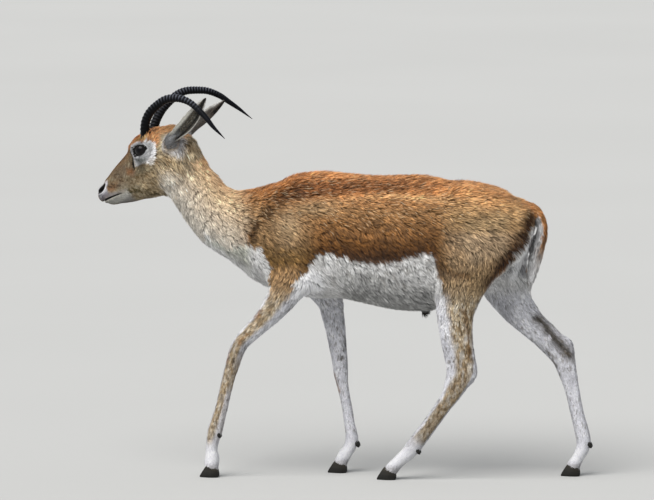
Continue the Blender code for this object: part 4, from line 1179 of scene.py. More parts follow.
def paint_tail(q, n, w):
    x, y, z = q.T
    g1 = noise(q, (5, 5, 14), 41)
    col = ramp(g1, (0.1, (176, 175, 174)), (0.9, (236, 235, 236)))
    brown = ramp(z, (520, (150, 122, 88)), (600, (160, 106, 56)), (640, (178, 122, 70)), (670, (200, 146, 96)))
    lay(brown, (92, 66, 40), step(0.55, 0.85, g1) * 0.5)
    t = step(-0.3, 0.3, n[:, 0] + (g1 - 0.5) * 0.5)
    lay(col, brown, np.maximum(t * step(500, 580, z), step(628, 648, z)))
    lay(col, (60, 54, 50), step(0.60, 0.78, noise(q, (3, 3, 20), 43)) * step(640, 620, z) * 0.6)
    return col


def paint_head(q, n, w):
    f, s, h = head_local(q)
    a = np.abs(s)
    rag = (noise(q, 4.0, 51) - 0.5) * 5 + (noise(q, 1.8, 52) - 0.5) * 3
    g2 = noise(q, (3, 3, 5), 53)
    top = step(0.35, 0.8, n @ HEAD_H)
    col = ramp(g2, (0.1, (134, 114, 84)), (0.5, (176, 158, 128)), (0.9, (208, 196, 170)))
    side = a > 8
    lay(col, (186, 172, 148), step(-30, -60, h) * step(130, 60, f) * 0.5)
    lay(col, (196, 190, 178), step(-52, -78, h) * 0.6)
    lay(col, ramp(f, (-10, (224, 178, 132)), (40, (232, 180, 132)), (95, (222, 180, 138)), (130, (176, 142, 108)),
                  (190, (184, 158, 124))), np.maximum(top, step(42, 58, h + rag)) * step(210, 192, f))

    def area(poly, colour, weight=1.0, soft=3.0):
        d = area_dist(f, h, poly) + rag * 0.6
        lay(col, colour, step(soft, -soft, d) * side * weight)

    area([(158, 38), (130, 34), (129, 18), (145, 9), (164, 6), (178, 16), (178, 28)], (134, 110, 88), 0.55, 8)
    area([(150, 36), (120, 34), (104, 44), (100, 52), (150, 44)], (170, 138, 100), 0.5, 6)
    area([(134, 20), (120, 15), (113, 2), (124, -2), (138, 7)], (192, 128, 80), 0.6, 6)
    area([(118, 30), (113, 30), (114, 6), (121, 8)], (120, 84, 56), 0.5, 3)
    area([(204, 16), (176, 11), (156, 4), (152, -5), (171, -8), (190, -7), (202, -4)], (184, 146, 108), 0.65, 6)
    area([(204, 10), (193, 6), (189, -5), (200, -6)], (186, 128, 88), 0.4, 5)
    area([(170, 5), (152, -3), (148, -14), (168, -15), (186, -13)], (176, 166, 146), 0.6, 6)
    area([(33, 46), (5, 50), (-2, 17), (29, 10)], (178, 166, 134), 0.7, 8)
    area([(36, 78), (7, 78), (-22, 70), (-40, 52), (-22, 40), (-5, 42), (14, 52), (28, 50)], (222, 168, 116), 0.9, 6)
    area([(96, 66), (86, 84), (60, 84), (28, 68), (28, 50), (42, 62), (60, 68), (78, 68)], (214, 158, 108), 0.9, 5)
    area([(72, 70), (56, 71), (38, 60), (32, 50), (46, 62), (62, 66)], (172, 148, 100), 0.7, 4)
    # whisker spots, and painted shade in the crease over the lip
    for p0, p1, half, k in (((198, 8), (192, 4), 3.0, 0.8), ((188, 10), (183, 5), 3.0, 0.75), ((177, 0), (170, -5), 2.6, 0.8),
                            ((186, 1), (180, -3), 2.4, 0.6), ((164, 6), (158, 1), 3.0, 0.8), ((160, 14), (155, 9), 2.4, 0.6),
                            ((204, 14), (199, 12), 2.4, 0.6), ((168, 24), (158, 20), 2.4, 0.5), ((150, 4), (146, -2), 2.4, 0.5)):
        g, t = line_dist(f, h, [p0, p1])
        lay(col, (70, 48, 34), bump(g, 0, half + 1.0) * side * k)
    area([(240, 24), (206, 27), (197, 24), (198, 15), (205, 11), (207, 4), (207, -4), (240, -8)], (242, 240, 244), 0.98, 3)
    area([(240, -2), (210, 2), (203, -5), (191, -12), (186, -16), (186, -19), (206, -14), (240, -12)], (168, 162, 170), 0.8, 4)
    area([(204, -9), (190, -11), (170, -14), (162, -19), (176, -22), (200, -16)], (200, 192, 186), 0.6, 3)
    area([(240, -13), (209, -15), (187, -19), (172, -21), (158, -19), (156, -34), (169, -46), (240, -50)], (222, 221, 215), 0.92, 7)
    lay(col, (150, 146, 146), step(-30, -42, h) * step(150, 165, f) * 0.6)
    # horn bases
    for c in (HORN_L[0], HORN_R[0]):
        g = np.linalg.norm(q - np.array(c[:3]), axis=1)
        lay(col, (206, 140, 86), step(40, 24, g) * 0.8)
        lay(col, (92, 58, 34), step(16, 9, np.linalg.norm(q - np.array([c[0] + 2, c[1], c[2] + 22]), axis=1)) * 0.7)
    # white ring round the eye, grey below it
    area([(78, 62), (66, 66), (54, 66), (44, 60), (36, 50), (43, 46), (55, 54), (67, 58)], (190, 158, 108), 0.9, 4)
    area([(99, 37), (97, 48), (92, 55), (85, 59), (74, 59), (64, 57), (56, 54), (48, 48), (40, 44), (33, 38), (33, 29),
          (35, 19), (41, 10), (48, 3), (55, -1), (66, -5), (71, 1), (83, 8), (92, 10), (102, 10), (107, 13), (102, 24)],
         (252, 252, 255), 1.0, 2.4)
    area([(92, 28), (80, 23), (66, 17), (67, 12), (76, 11), (86, 12), (93, 20)], (136, 142, 132), 0.7, 5)
    area([(118, 4), (90, 6), (60, -8), (62, -14), (100, -8), (118, -4)], (188, 182, 160), 0.5, 5)
    # grey roots of the ears
    for sg in (1, -1):
        p0 = head_point(-10, sg * 36, 14)
        g = np.hypot(np.linalg.norm(q - p0, axis=1), 0)
        lay(col, (206, 206, 210), step(36, 20, g + rag) * 0.9)
        g, t = line_dist(f, h, [(-2, 8), (-12, -2), (-14, -14)])
        lay(col, (176, 176, 176), bump(g, 0, 14) * (s * sg > 12) * 0.75)
    # painted shade along the underside of the jaw, broken up by noise
    g, t = line_dist(f, h, [(155, -28), (137, -32), (122, -46), (106, -64), (80, -78), (52, -76)])
    lay(col, (74, 64, 26), bump(g, 0, 18) * side * step(0.15, 0.5, noise(q, (4, 4, 6), 55)) * 0.9)
    col *= 1 - (1 - np.array([0.82, 0.77, 0.68])) * (step(135, 110, f) * step(20, -10, h) * step(-12, 10, f))[:, None]
    lay(col, (120, 92, 62), step(0.62, 0.8, noise(q, (3, 3, 6), 56)) * step(130, 110, f) * step(20, 0, h) * 0.5)
    lay(col, (84, 64, 44), step(0.70, 0.84, noise(q, (2.6, 2.6, 2.6), 57)) * step(205, 190, f) * step(-40, -20, h)
        * (np.linalg.norm(q - EYES[1], axis=1) > 38) * (np.linalg.norm(q - EYES[-1], axis=1) > 38) * 0.35)
    return col


def bare(q):
    """Dark naked skin: lid rims, nostrils, gland slit and the line of the mouth. 1 where bare."""
    f, s, h = head_local(q)
    out = np.zeros(len(q))
    i = np.nonzero((f > 20) & (f < 245) & (np.abs(s) < 75))[0]
    f, s, h, p = f[i], s[i], h[i], q[i]
    b = np.zeros(len(i))
    for sg in (1, -1):
        r, a, u, o = eye_local(p, sg)
        gap = lid_gap(a, u)
        wide = np.interp(a, [-20, -12, 10, 20], [1.0, 2.2, 2.6, 5.0])
        b = np.maximum(b, step(-wide - 1.0, -wide + 0.6, gap) * (r < EYE_R + 9) * (o > 0))
        b = np.maximum(b, step(4.2, 2.4, np.hypot(a - EYE_HALF, u + 3)) * (r < EYE_R + 9) * (o > -3))
        u = (f - 219.0) * 0.956 - (h - 13.5) * 0.293
        v = (f - 219.0) * 0.293 + (h - 13.5) * 0.956 - 0.012 * u * u
        b = np.maximum(b, step(1.45, 1.15, np.sqrt((u / 13.5) ** 2 + (v / 4.9) ** 2)) * (s * sg > 3))
    g, t = line_dist(f, h, SLIT)
    b = np.maximum(b, step(0.8, -0.6, g - np.interp(t, [0, 0.25, 0.6, 1.0], [1.8, 2.6, 4.0, 2.2])) * (np.abs(s) > 12))
    g, t = line_dist(f, h, MOUTH)
    b = np.maximum(b, step(0.7, -0.5, g - np.interp(f, [174, 190, 226], [1.0, 1.8, 2.9])) * step(172, 178, f))
    out[i] = b
    return out


def paint_ears(q, n, w):
    col = np.tile(srgb(150, 128, 100), (len(q), 1))
    for k, leaf in enumerate(EARS):
        m = np.nonzero(w[:, 8 + k] > 0.3)[0]
        if not len(m):
            continue
        p = q[m]
        t, b, c = leaf.local(p * MM)
        hw = np.interp(np.clip(t, 0, 1), leaf.f, leaf.rr[:, 0])
        e = np.clip(b / hw, -1.2, 1.2)
        inner = step(-0.15, 0.35, n[m] @ leaf.n)
        g = noise(p, (3, 3, 3), 61)
        back = ((130, 128, 126), (108, 104, 100), (116, 110, 104), (96, 88, 80)) if k else ((150, 148, 146), (160, 148, 128), (160, 138, 108), (120, 104, 88))
        c = ramp(t + (g - 0.5) * 0.2, (0.0, back[0]), (0.25, back[1]), (0.7, back[2]), (1.0, back[3]))
        streak = noise(np.stack([t * 30, b / MM, 0 * t], axis=1), (9, 2.2, 3), 62)
        lay(c, (60, 54, 50), step(0.62, 0.8, streak) * 0.5)
        dark = ramp(g, (0.1, (30, 29, 27)), (0.55, (74, 73, 68)), (0.9, (128, 128, 120)))
        root = step(0.30, 0.12, t)
        lay(c, dark, inner * 0.9)
        lay(c, (146, 148, 150), inner * root * step(0.3, -0.1, e) * 0.9)
        lay(c, (22, 20, 18), inner * bump(e, 0.30, 0.40) * step(0.85, 0.6, t))
        lay(c, (244, 240, 230), step(0.55, 0.78, -e) * (0.95 if k == 0 else 0.9) * step(-0.05, 0.1, t))
        lay(c, (222, 220, 214), step(0.74, 0.92, e) * 0.85 * step(0.05, 0.2, t))
        lay(c, (240, 238, 234), step(0.55, 0.85, np.abs(e)) * step(0.64, 0.82, t) * 0.95)
        lay(c, (26, 24, 24), step(0.60, 0.72, t) * step(0.55, 0.3, np.abs(e)) * 0.92)
        lay(c, (158, 158, 160), step(0.14, 0.02, t) * 0.85)
        col[m] = c
    return col


def paint(q, n, w):
    col = paint_body(q, n, w)
    leg = w[:, 3:7].sum(axis=1)
    m = np.nonzero((q[:, 2] < 480) & (leg > 0.3))[0]
    part = paint_legs(q[m], n[m], w[m])
    body = col[m]
    lay(body, part, step(474, 420, q[m, 2]) * step(0.3, 0.6, leg[m]))
    col[m] = body
    for cols, fn, a, b in (((7,), paint_tail, 0.35, 0.65), ((2,), paint_head, 0.30, 0.70), ((8, 9), paint_ears, 0.35, 0.6)):
        k = w[:, list(cols)].sum(axis=1)
        m = np.nonzero(k > a)[0]
        part, whole = fn(q[m], n[m], w[m]), col[m]
        lay(whole, part, step(a, b, k[m]))
        col[m] = whole
    x, y, z = q.T
    # painted shade: grey in the hollow behind the thighs, under the tail
    back = (x > 385) & (np.abs(y) < 55) & (z < 612) & (z > 470)
    g, t = line_dist(x, z, [(438, 572), (431, 530), (420, 492)])
    lay(col, (150, 148, 156), bump(g, 0, 14) * back * 0.7)
    g, t = line_dist(x, z, [(459, 614), (438, 580), (418, 545), (392, 486)])
    lay(col, (252, 252, 254), bump(g, 0, 13) * (x > 380) * (np.abs(y) < 75) * (z > 474) * (z < 622) * 0.95)
    # painted shadow: the dark gap between the tail and the rump
    g, t = line_dist(x, z, [(456, 598), (445, 560), (431, 505)])
    lay(col, (48, 45, 43), bump(g, 0, 9) * back * 0.9)
    lay(col, (15, 12, 11), bare(q))
    return col


# ---------------------------------------------------------------- the lie of the coat, at each point of the skin
def leg_place(p, w):
    """Outward and forward parts of each point's place round its leg, and how far up the nape it is."""
    outer, front, nape = np.zeros(len(p)), np.zeros(len(p)), np.zeros(len(p))
    for k, name in enumerate(LEGS):
        m = np.nonzero(w[:, 3 + k] > 0.05)[0]
        c = CHAINS[name]
        _, a, b, _, r, _ = c.local(p[m])
        mid = len(c.u) // 2
        sg = -1 if name.endswith('l') else 1
        outer[m] = a / r[:, 0] * sg * np.sign(c.s[mid, 1])
        front[m] = -b / np.where(b > 0, r[:, 1], r[:, 2]) * np.sign(c.u[mid, 0])
    m = np.nonzero(w[:, 1] > 0.02)[0]
    _, a, b, _, r, _ = CHAINS['neck'].local(p[m])
    nape[m] = b / np.where(b > 0, r[:, 1], r[:, 2])
    return np.stack([nape, outer, front], axis=1)


def flow(p, n, w):
    """Unit directions that the hair points in, along the skin."""
    q = p / MM
    x, y, z = q.T
    d = np.zeros_like(p)
    for k, name in enumerate(ORDER[:8]):
        m = np.nonzero(w[:, k] > 0.01)[0]
        c = CHAINS[name]
        j, t = c.near(p[m])
        d[m] += w[m, k][:, None] * c.t[j] * (-1 if name == 'head' else 1)
    for k, leaf in enumerate(EARS):
        d += w[:, 8 + k][:, None] * leaf.a
    f, s, h = head_local(q)
    down = w[:, 0] * np.interp(z, [540, 600, 660, 700, 725], [0.95, 0.75, 0.45, 0.16, 0.05])
    down += w[:, 0] * step(380, 430, x) * 0.9
    d[:, 0] += w[:, 0] * step(395, 415, x) * step(620, 590, z) * 0.35
    down += w[:, 1] * 0.30
    down += w[:, 2] * (step(10, -25, h) * step(190, 150, f) * 0.9 + step(60, 20, f) * step(40, 10, h) * 0.5)
    down += w[:, 2] * step(30, -10, f) * 1.2
    d[:, 2] -= down
    for c in (HORN_L, HORN_R):
        k = step(28, 14, np.linalg.norm(q - np.array([c[0][0], c[0][1], c[0][2] + 4]), axis=1)) * 2.2
        d += k[:, None] * np.array([-0.10, 0.0, 1.0])
    # away from the corner of each eye
    for sg in (1, -1):
        r, a, b, o = eye_local(q, sg)
        k = step(34, 22, r) * (o > 0) * 0.6
        out, al, up = eye_axes(sg)
        d += k[:, None] * ((a / 20)[:, None] * al * 0.5 + (b / 14)[:, None] * up)
    d -= np.einsum('ij,ij->i', d, n)[:, None] * n
    return d / (np.linalg.norm(d, axis=1)[:, None] + 1e-9)


def lengths(q, n, w):
    """Tuft length and width in millimetres."""
    x, y, z = q.T
    f, s, h = head_local(q)
    rear = step(396, 412, x) * step(450, 500, z) * step(625, 590, z)
    tl = 19.5 - 2.5 * step(560, 520, z) - 6 * step(380, 440, x) + 18 * rear
    tw = 1.66 - 0.1 * step(560, 520, z) - 0.2 * step(380, 440, x)
    hl = np.interp(f, [-30, 20, 60, 100, 150, 200, 232], [13, 10.5, 7.0, 5.6, 4.4, 3.2, 2.4])
    hl += 4.5 * step(-5, -30, h) * step(150, 110, f) + 5 * step(12, -10, h) * step(96, 66, f)
    for c in (HORN_L[0], HORN_R[0]):
        hl += 6.5 * step(26, 14, np.linalg.norm(q - np.array([c[0], c[1], c[2] + 4]), axis=1))
    hw = np.interp(f, [-30, 20, 60, 100, 150, 200, 232], [1.7, 1.4, 1.1, 0.95, 0.85, 0.72, 0.6]) + 0.3 * step(-5, -30, h) * step(150, 110, f)
    near = np.full(len(q), 99.0)
    for sg in (1, -1):
        near = np.minimum(near, np.linalg.norm(q - EYES[sg], axis=1))
    k = step(34, 24, near)
    hl, hw = hl + (3.2 - hl) * k, hw + (0.7 - hw) * k
    ll = np.interp(z, [20, 60, 120, 250, 330, 430, 520], [4.5, 5.5, 6.0, 7.5, 9.0, 13, 18])
    lw = np.interp(z, [20, 60, 120, 250, 330, 430, 520], [0.9, 1.0, 1.0, 1.1, 1.25, 1.5, 2.2])
    long = (w[:, 0] * tl + w[:, 1] * 17 + w[:, 2] * hl + w[:, 3:7].sum(axis=1) * ll
            + w[:, 7] * (np.interp(z, [460, 520, 640], [24, 17, 12]) + 8 * step(-0.2, -0.7, n[:, 0]) * step(640, 610, z)) + w[:, 8:10].sum(axis=1) * 4.5)
    wide = (w[:, 0] * tw + w[:, 1] * 1.65 + w[:, 2] * hw + w[:, 3:7].sum(axis=1) * lw + w[:, 7] * 1.6
            + w[:, 8:10].sum(axis=1) * 0.8)
    return long, wide


pmm = pts / MM
share = np.hstack([share, leg_place(pts, share)])
lie = flow(pts, nrm, share)
for _ in range(2):
    lie = smoothed(skin, lie, 1, 0.5)
long_, wide_ = lengths(pmm, nrm, share)
colour = paint(pmm, nrm, share)
rim = (np.arange(len(pts)) >= LOOSE) & (share[:, 8] + share[:, 9] < 0.5)
clock('skin painted')


def put_colours(ob, rgb):
    at = ob.data.color_attributes.new('Col', 'FLOAT_COLOR', 'POINT')
    c = np.ones((len(rgb), 4), dtype=np.float32)
    c[:, :3] = rgb
    at.data.foreach_set('color', c.ravel())
    ob.data.color_attributes.active_color = at


# the skin between the tufts is darker than their tips: painted shade under the coat, deeper where the coat is thicker
deep = colour * np.interp(depth / MM, [1.2, 3.0, 8.0], [0.95, 0.72, 0.50])[:, None]
put_colours(skin, deep)

# ---------------------------------------------------------------- tufts
skin.data.calc_loop_triangles()
tri = np.empty(len(skin.data.loop_triangles) * 3, dtype=np.int32)
skin.data.loop_triangles.foreach_get('vertices', tri)
tri = tri.reshape(-1, 3)
e1, e2 = pmm[tri[:, 1]] - pmm[tri[:, 0]], pmm[tri[:, 2]] - pmm[tri[:, 0]]
area = 0.5 * np.linalg.norm(np.cross(e1, e2), axis=1)
naked = bare(pmm)
naked[rim] = 1
naked = np.maximum(naked, step(-2.0, 0.5, coronet(pts) / MM))
for sg in (1, -1):
    r, a, b, o = eye_local(pmm, sg)
    naked = np.maximum(naked, ((lid_gap(a, b) > -2.6) & (r < EYE_R + 9) & (o > 0)).astype(float))
for c in (HORN_L, HORN_R):
    naked = np.maximum(naked, (line_dist(pmm[:, 0], pmm[:, 2], [(c[0][0], c[0][2] - 20), (c[1][0], c[1][2])])[0] < 11)
                       * (np.abs(pmm[:, 1] - c[0][1]) < 12).astype(float) * (pmm[:, 2] > 806))
cover = np.where(long_ > 9.0, 5.6, 5.2)
rho = cover / (long_ * wide_) * (naked < 0.4)
weight = area * rho[tri].mean(axis=1) * (naked[tri].max(axis=1) < 0.5)
LIMIT = 1_380_000
big = (long_[tri].mean(axis=1) > 9.0)
total = (weight * np.where(big, 6, 2)).sum()
weight *= min(1.0, LIMIT / total)
cum = np.cumsum(weight)
count = int(cum[-1])
print('tufts', count, 'wanted triangles', int(total), flush=True)
pick = np.searchsorted(cum, (np.arange(count) + rng.random(count)) / count * cum[-1])
pick = np.minimum(pick, len(tri) - 1)
u, v = rng.random(count), rng.random(count)
m = u + v > 1
u[m], v[m] = 1 - u[m], 1 - v[m]
bary = np.stack([1 - u - v, u, v], axis=1)
corner = tri[pick]


def at_roots(values):
    return np.einsum('ij,ij...->i...', bary, values[corner])


root = at_roots(pts)
rn = at_roots(nrm)
rn /= np.linalg.norm(rn, axis=1)[:, None]
rd = at_roots(lie)
rw = at_roots(share)
L, W = at_roots(long_), at_roots(wide_)
H = at_roots(depth) / MM
rw[:, 10:] = leg_place(root, rw)
ridge = big[pick]
clock('roots placed')

# directions: the lie, a little wandering, and pulled together in clumps
rq = root / MM
turn = (noise(rq, (26, 26, 26), 71) - 0.5) * 0.50 + (noise(rq, (9, 9, 9), 72) - 0.5) * 0.45 + rng.normal(0, 0.13, count)
turn *= np.interp(L, [3, 8, 16], [0.35, 0.6, 1.0])
rd = rd - np.einsum('ij,ij->i', rd, rn)[:, None] * rn
rd /= np.linalg.norm(rd, axis=1)[:, None] + 1e-9
rs = np.cross(rn, rd)
rd = rd * np.cos(turn)[:, None] + rs * np.sin(turn)[:, None]
L = L * rng.uniform(0.72, 1.22, count)
W = W * rng.uniform(0.75, 1.30, count)
cell = np.clip(L * 0.62, 2.2, 13)
order = rng.permutation(count)
keep = order[rng.random(count) < (W[order] * L[order] / (6.0 * cell[order] ** 2))]
tree = kdtree.KDTree(len(keep))
for k, i in enumerate(keep):
    tree.insert(root[i], k)
tree.balance()
home = np.fromiter((tree.find(p)[1] for p in root), dtype=np.int64, count=count)
home = keep[home]
tone = rng.normal(0, 1, count)
tip_goal = root[home] + rd[home] * (L[home] * MM)[:, None]
away = tip_goal - root
away -= np.einsum('ij,ij->i', away, rn)[:, None] * rn
near = np.linalg.norm(root[home] - root, axis=1) / MM < cell * 1.6
pull = np.where(near, np.where(ridge, 0.42, 0.25), 0.0) * rng.uniform(0.6, 1.2, count)
reach = rd * (L * MM)[:, None] * (1 - pull)[:, None] + away * pull[:, None]
length = np.linalg.norm(reach, axis=1)
rd = reach / (length[:, None] + 1e-9)
length = np.clip(length, 0.5 * L * MM, 1.3 * L * MM)
rs = np.cross(rn, rd)
clock('clumps')

# colours of each tuft
rc = paint(rq, rn, rw)
grey = rc.mean(axis=1, keepdims=True)
dapple = noise(rq, (5, 5, 5), 81) - 0.5
pale = np.clip(grey[:, 0] / 0.6, 0, 1)
amount = np.interp(L, [3, 8, 16], [0.45, 0.75, 1.0]) * (1 - 0.45 * pale)
light = np.exp(amount * (rng.normal(0, 0.40, count) + tone[home] * 0.20 + dapple * 0.22) - 0.04)
rc = rc * np.clip(light, 0.35, 2.1)[:, None]
tan_zone = (1 - pale) * np.interp(L, [5, 10], [0.3, 1.0])
dark = rng.random(count) < 0.10 + 0.05 * rw[:, 1] + 0.05 * (rw[:, 2] > 0.5)
rc[dark] *= (1 - 0.66 * np.clip(tan_zone[dark] + 0.25, 0, 1))[:, None]
lit = rng.random(count) < (0.12 + 0.10 * (rw[:, 2] > 0.5) + 0.05 * rw[:, 1]) * tan_zone * step(585, 680, rq[:, 2])
rc[lit] = rc[lit] * 0.60 + srgb(230, 206, 168) * 0.40
rc = np.clip(rc, 0.003, 0.92)


# pieces of coat
def uv_places(group, p, w):
    """An unwrap of the skin's own shape: along the chain and round it."""
    q = p / MM
    if group == 'trunk_l' or group == 'trunk_r':
        return q[:, 0], np.arctan2(q[:, 2] - 575, np.abs(q[:, 1]) * 1.3 + 4)
    if group == 'ears':
        a, b = np.zeros(len(p)), np.zeros(len(p))
        for k, leaf in enumerate(EARS):
            m = w[:, 8 + k] > w[:, 9 - k]
            t, x, c = leaf.local(p[m])
            inner = c > np.interp(np.clip(t, 0, 1), leaf.f, leaf.rr[:, 2]) * np.minimum((x / 0.02) ** 2, 1.6)
            a[m] = np.clip(t, -0.4, 1) + 1.6 * k
            b[m] = x + 0.06 * inner
        return a, b
    if group == 'neck' or group == 'head':
        c = CHAINS[group]
        j, a, b, _, r, _ = c.local(p)
        return j, np.arctan2(a, b)
    if group == 'tail':
        j, a, b, _, r, _ = CHAINS['tail'].local(p)
        return j, np.arctan2(a, b)
    x, y = np.zeros(len(p)), np.zeros(len(p))
    for k, name in enumerate(group):
        m = w[:, 3 + LEGS.index(name)] >= w[:, 3 + LEGS.index(group[1 - k])]
        j, a, b, _, r, _ = CHAINS[name].local(p[m])
        x[m], y[m] = j, np.arctan2(a, b) + 7.0 * k
    return x, y


owner = rw[:, :10].argmax(axis=1)
GROUPS = {'coat_trunk_l': ('trunk_l', (owner == 0) & (rq[:, 1] < 0)), 'coat_trunk_r': ('trunk_r', (owner == 0) & (rq[:, 1] >= 0)),
          'coat_neck': ('neck', owner == 1), 'coat_head': ('head', owner == 2),
          'coat_forelegs': (('leg_fl', 'leg_fr'), (owner == 3) | (owner == 4)),
          'coat_hindlegs': (('leg_hl', 'leg_hr'), (owner == 5) | (owner == 6)),
          'coat_tail': ('tail', owner == 7), 'coat_ears': ('ears', owner >= 8)}

#              along, across, height over the lie line (parts of the length, width, rise)
SHAPE6 = np.array([(0.00, 0.00, 0.0), (0.34, 0.50, -0.25), (0.34, 0.0, 0.22), (0.34, -0.50, -0.25),
                   (0.74, 0.30, 0.0), (0.74, -0.30, 0.0), (1.0, 0.0, 0.0)])
FACE6 = np.array([(0, 2, 1), (0, 3, 2), (1, 2, 4), (2, 5, 4), (2, 3, 5), (4, 5, 6)])
SHAPE2 = np.array([(0.0, 0.0, 0.0), (0.42, 0.5, -0.30), (0.42, -0.5, -0.30), (1.0, 0.0, 0.0)])
FACE2 = np.array([(0, 3, 1), (0, 2, 3)])
# brightness along each tuft: the dark roots are painted shade in the gaps of the coat, the paler tips are the hair's
# own colour
SHADED_ROOT_PALE_TIP6 = np.array([0.50, 0.86, 0.98, 0.86, 1.08, 1.08, 1.22])
SHADED_ROOT_PALE_TIP2 = np.array([0.72, 0.98, 0.98, 1.12])


def tuft_mesh(name, sel, uv, shape, face, root_shade_tip_tones, parts):
    n, k = len(sel), len(shape)
    t = shape[:, 0][None, :]
    rise = (H[sel] * lift[sel])[:, None]
    up = (rise + puff[sel][:, None]) * (1 - (1 - t) ** 1.9) + shape[:, 2][None, :] * W[sel][:, None] - 0.5 * (t == 0)
    side = shape[:, 1][None, :] * W[sel][:, None] + curl[sel][:, None] * t ** 2
    p = (root[sel][:, None, :] + rd[sel][:, None, :] * (t * length[sel][:, None])[..., None]
         + rs[sel][:, None, :] * (side * MM)[..., None] + rn[sel][:, None, :] * (up * MM)[..., None])
    c = rc[sel][:, None, :] * root_shade_tip_tones[None, :, None]
    uvp = uv[sel][:, None, :] + np.stack([(t - 0.5) * 0.0030 + 0 * side, shape[:, 1][None, :] * 0.0030 + 0 * side], axis=2)
    f = (np.arange(n)[:, None, None] * k + face[None]).reshape(-1, 3)
    parts.append((p.reshape(-1, 3), np.clip(c.reshape(-1, 3), 0, 0.95), uvp.reshape(-1, 2), f))


def join_parts(name, parts):
    at, V, C, U, F = 0, [], [], [], []
    for p, c, uvp, f in parts:
        V.append(p)
        C.append(c)
        U.append(uvp)
        F.append(f + at)
        at += len(p)
    V, C, U, F = np.vstack(V), np.vstack(C), np.vstack(U), np.vstack(F)
    me = bpy.data.meshes.new(name)
    me.vertices.add(len(V))
    me.vertices.foreach_set('co', np.ascontiguousarray(V + SHIFT, dtype=np.float32).ravel())
    me.loops.add(len(F) * 3)
    me.loops.foreach_set('vertex_index', F.astype(np.int32).ravel())
    me.polygons.add(len(F))
    me.polygons.foreach_set('loop_start', (np.arange(len(F)) * 3).astype(np.int32))
    me.update(calc_edges=True)
    me.polygons.foreach_set('use_smooth', np.ones(len(F), dtype=bool))
    layer = me.uv_layers.new(name='OFBake')
    layer.data.foreach_set('uv', np.ascontiguousarray(np.clip(U[F.ravel()], 0.0005, 0.9995), dtype=np.float32).ravel())
    ob = bpy.data.objects.new(name, me)
    bpy.context.scene.collection.objects.link(ob)
    put_colours(ob, C)
    return ob


lift = np.where(ridge, rng.uniform(0.45, 0.98, count), rng.uniform(0.55, 1.0, count))
stray = rng.random(count) < 0.015
lift[stray] *= 1.25
curl = rng.normal(0, 0.10, count) * L
# fuller hair over the croup
puff = 9.0 * np.exp(-((rq[:, 0] - 388) / 20) ** 2 - (rq[:, 1] / 30) ** 2) * (rq[:, 2] > 640)
COATS = []
for name, (group, mask) in GROUPS.items():
    idx = np.nonzero(mask)[0]
    if not len(idx):
        continue
    a, b = uv_places(group, root[idx], rw[idx])
    tris = np.where(ridge[idx], 6, 2)
    parts_wanted = max(1, int(math.ceil(tris.sum() / 185_000)))
    srt = np.argsort(a, kind='stable')
    cut = np.cumsum(tris[srt]) / tris.sum() * parts_wanted
    for k in range(parts_wanted):
        sub = srt[(cut > k) & (cut <= k + 1)]
        sel = idx[sub]
        uv = np.zeros((count, 2))
        for j, q in enumerate((a[sub], b[sub])):
            uv[sel, j] = 0.004 + 0.992 * (q - q.min()) / max(q.max() - q.min(), 1e-6)
        parts = []
        for want, shape, face, root_shade_tip_tones in ((True, SHAPE6, FACE6, SHADED_ROOT_PALE_TIP6), (False, SHAPE2, FACE2, SHADED_ROOT_PALE_TIP2)):
            s = sel[ridge[sel] == want]
            if len(s):
                tuft_mesh(name, s, uv, shape, face, root_shade_tip_tones, parts)
        COATS.append(join_parts(name if parts_wanted == 1 else '%s_%d' % (name, k + 1), parts))
        print(COATS[-1].name, len(COATS[-1].data.polygons), flush=True)
set_coords(skin, pts + SHIFT)
clock('coat made')


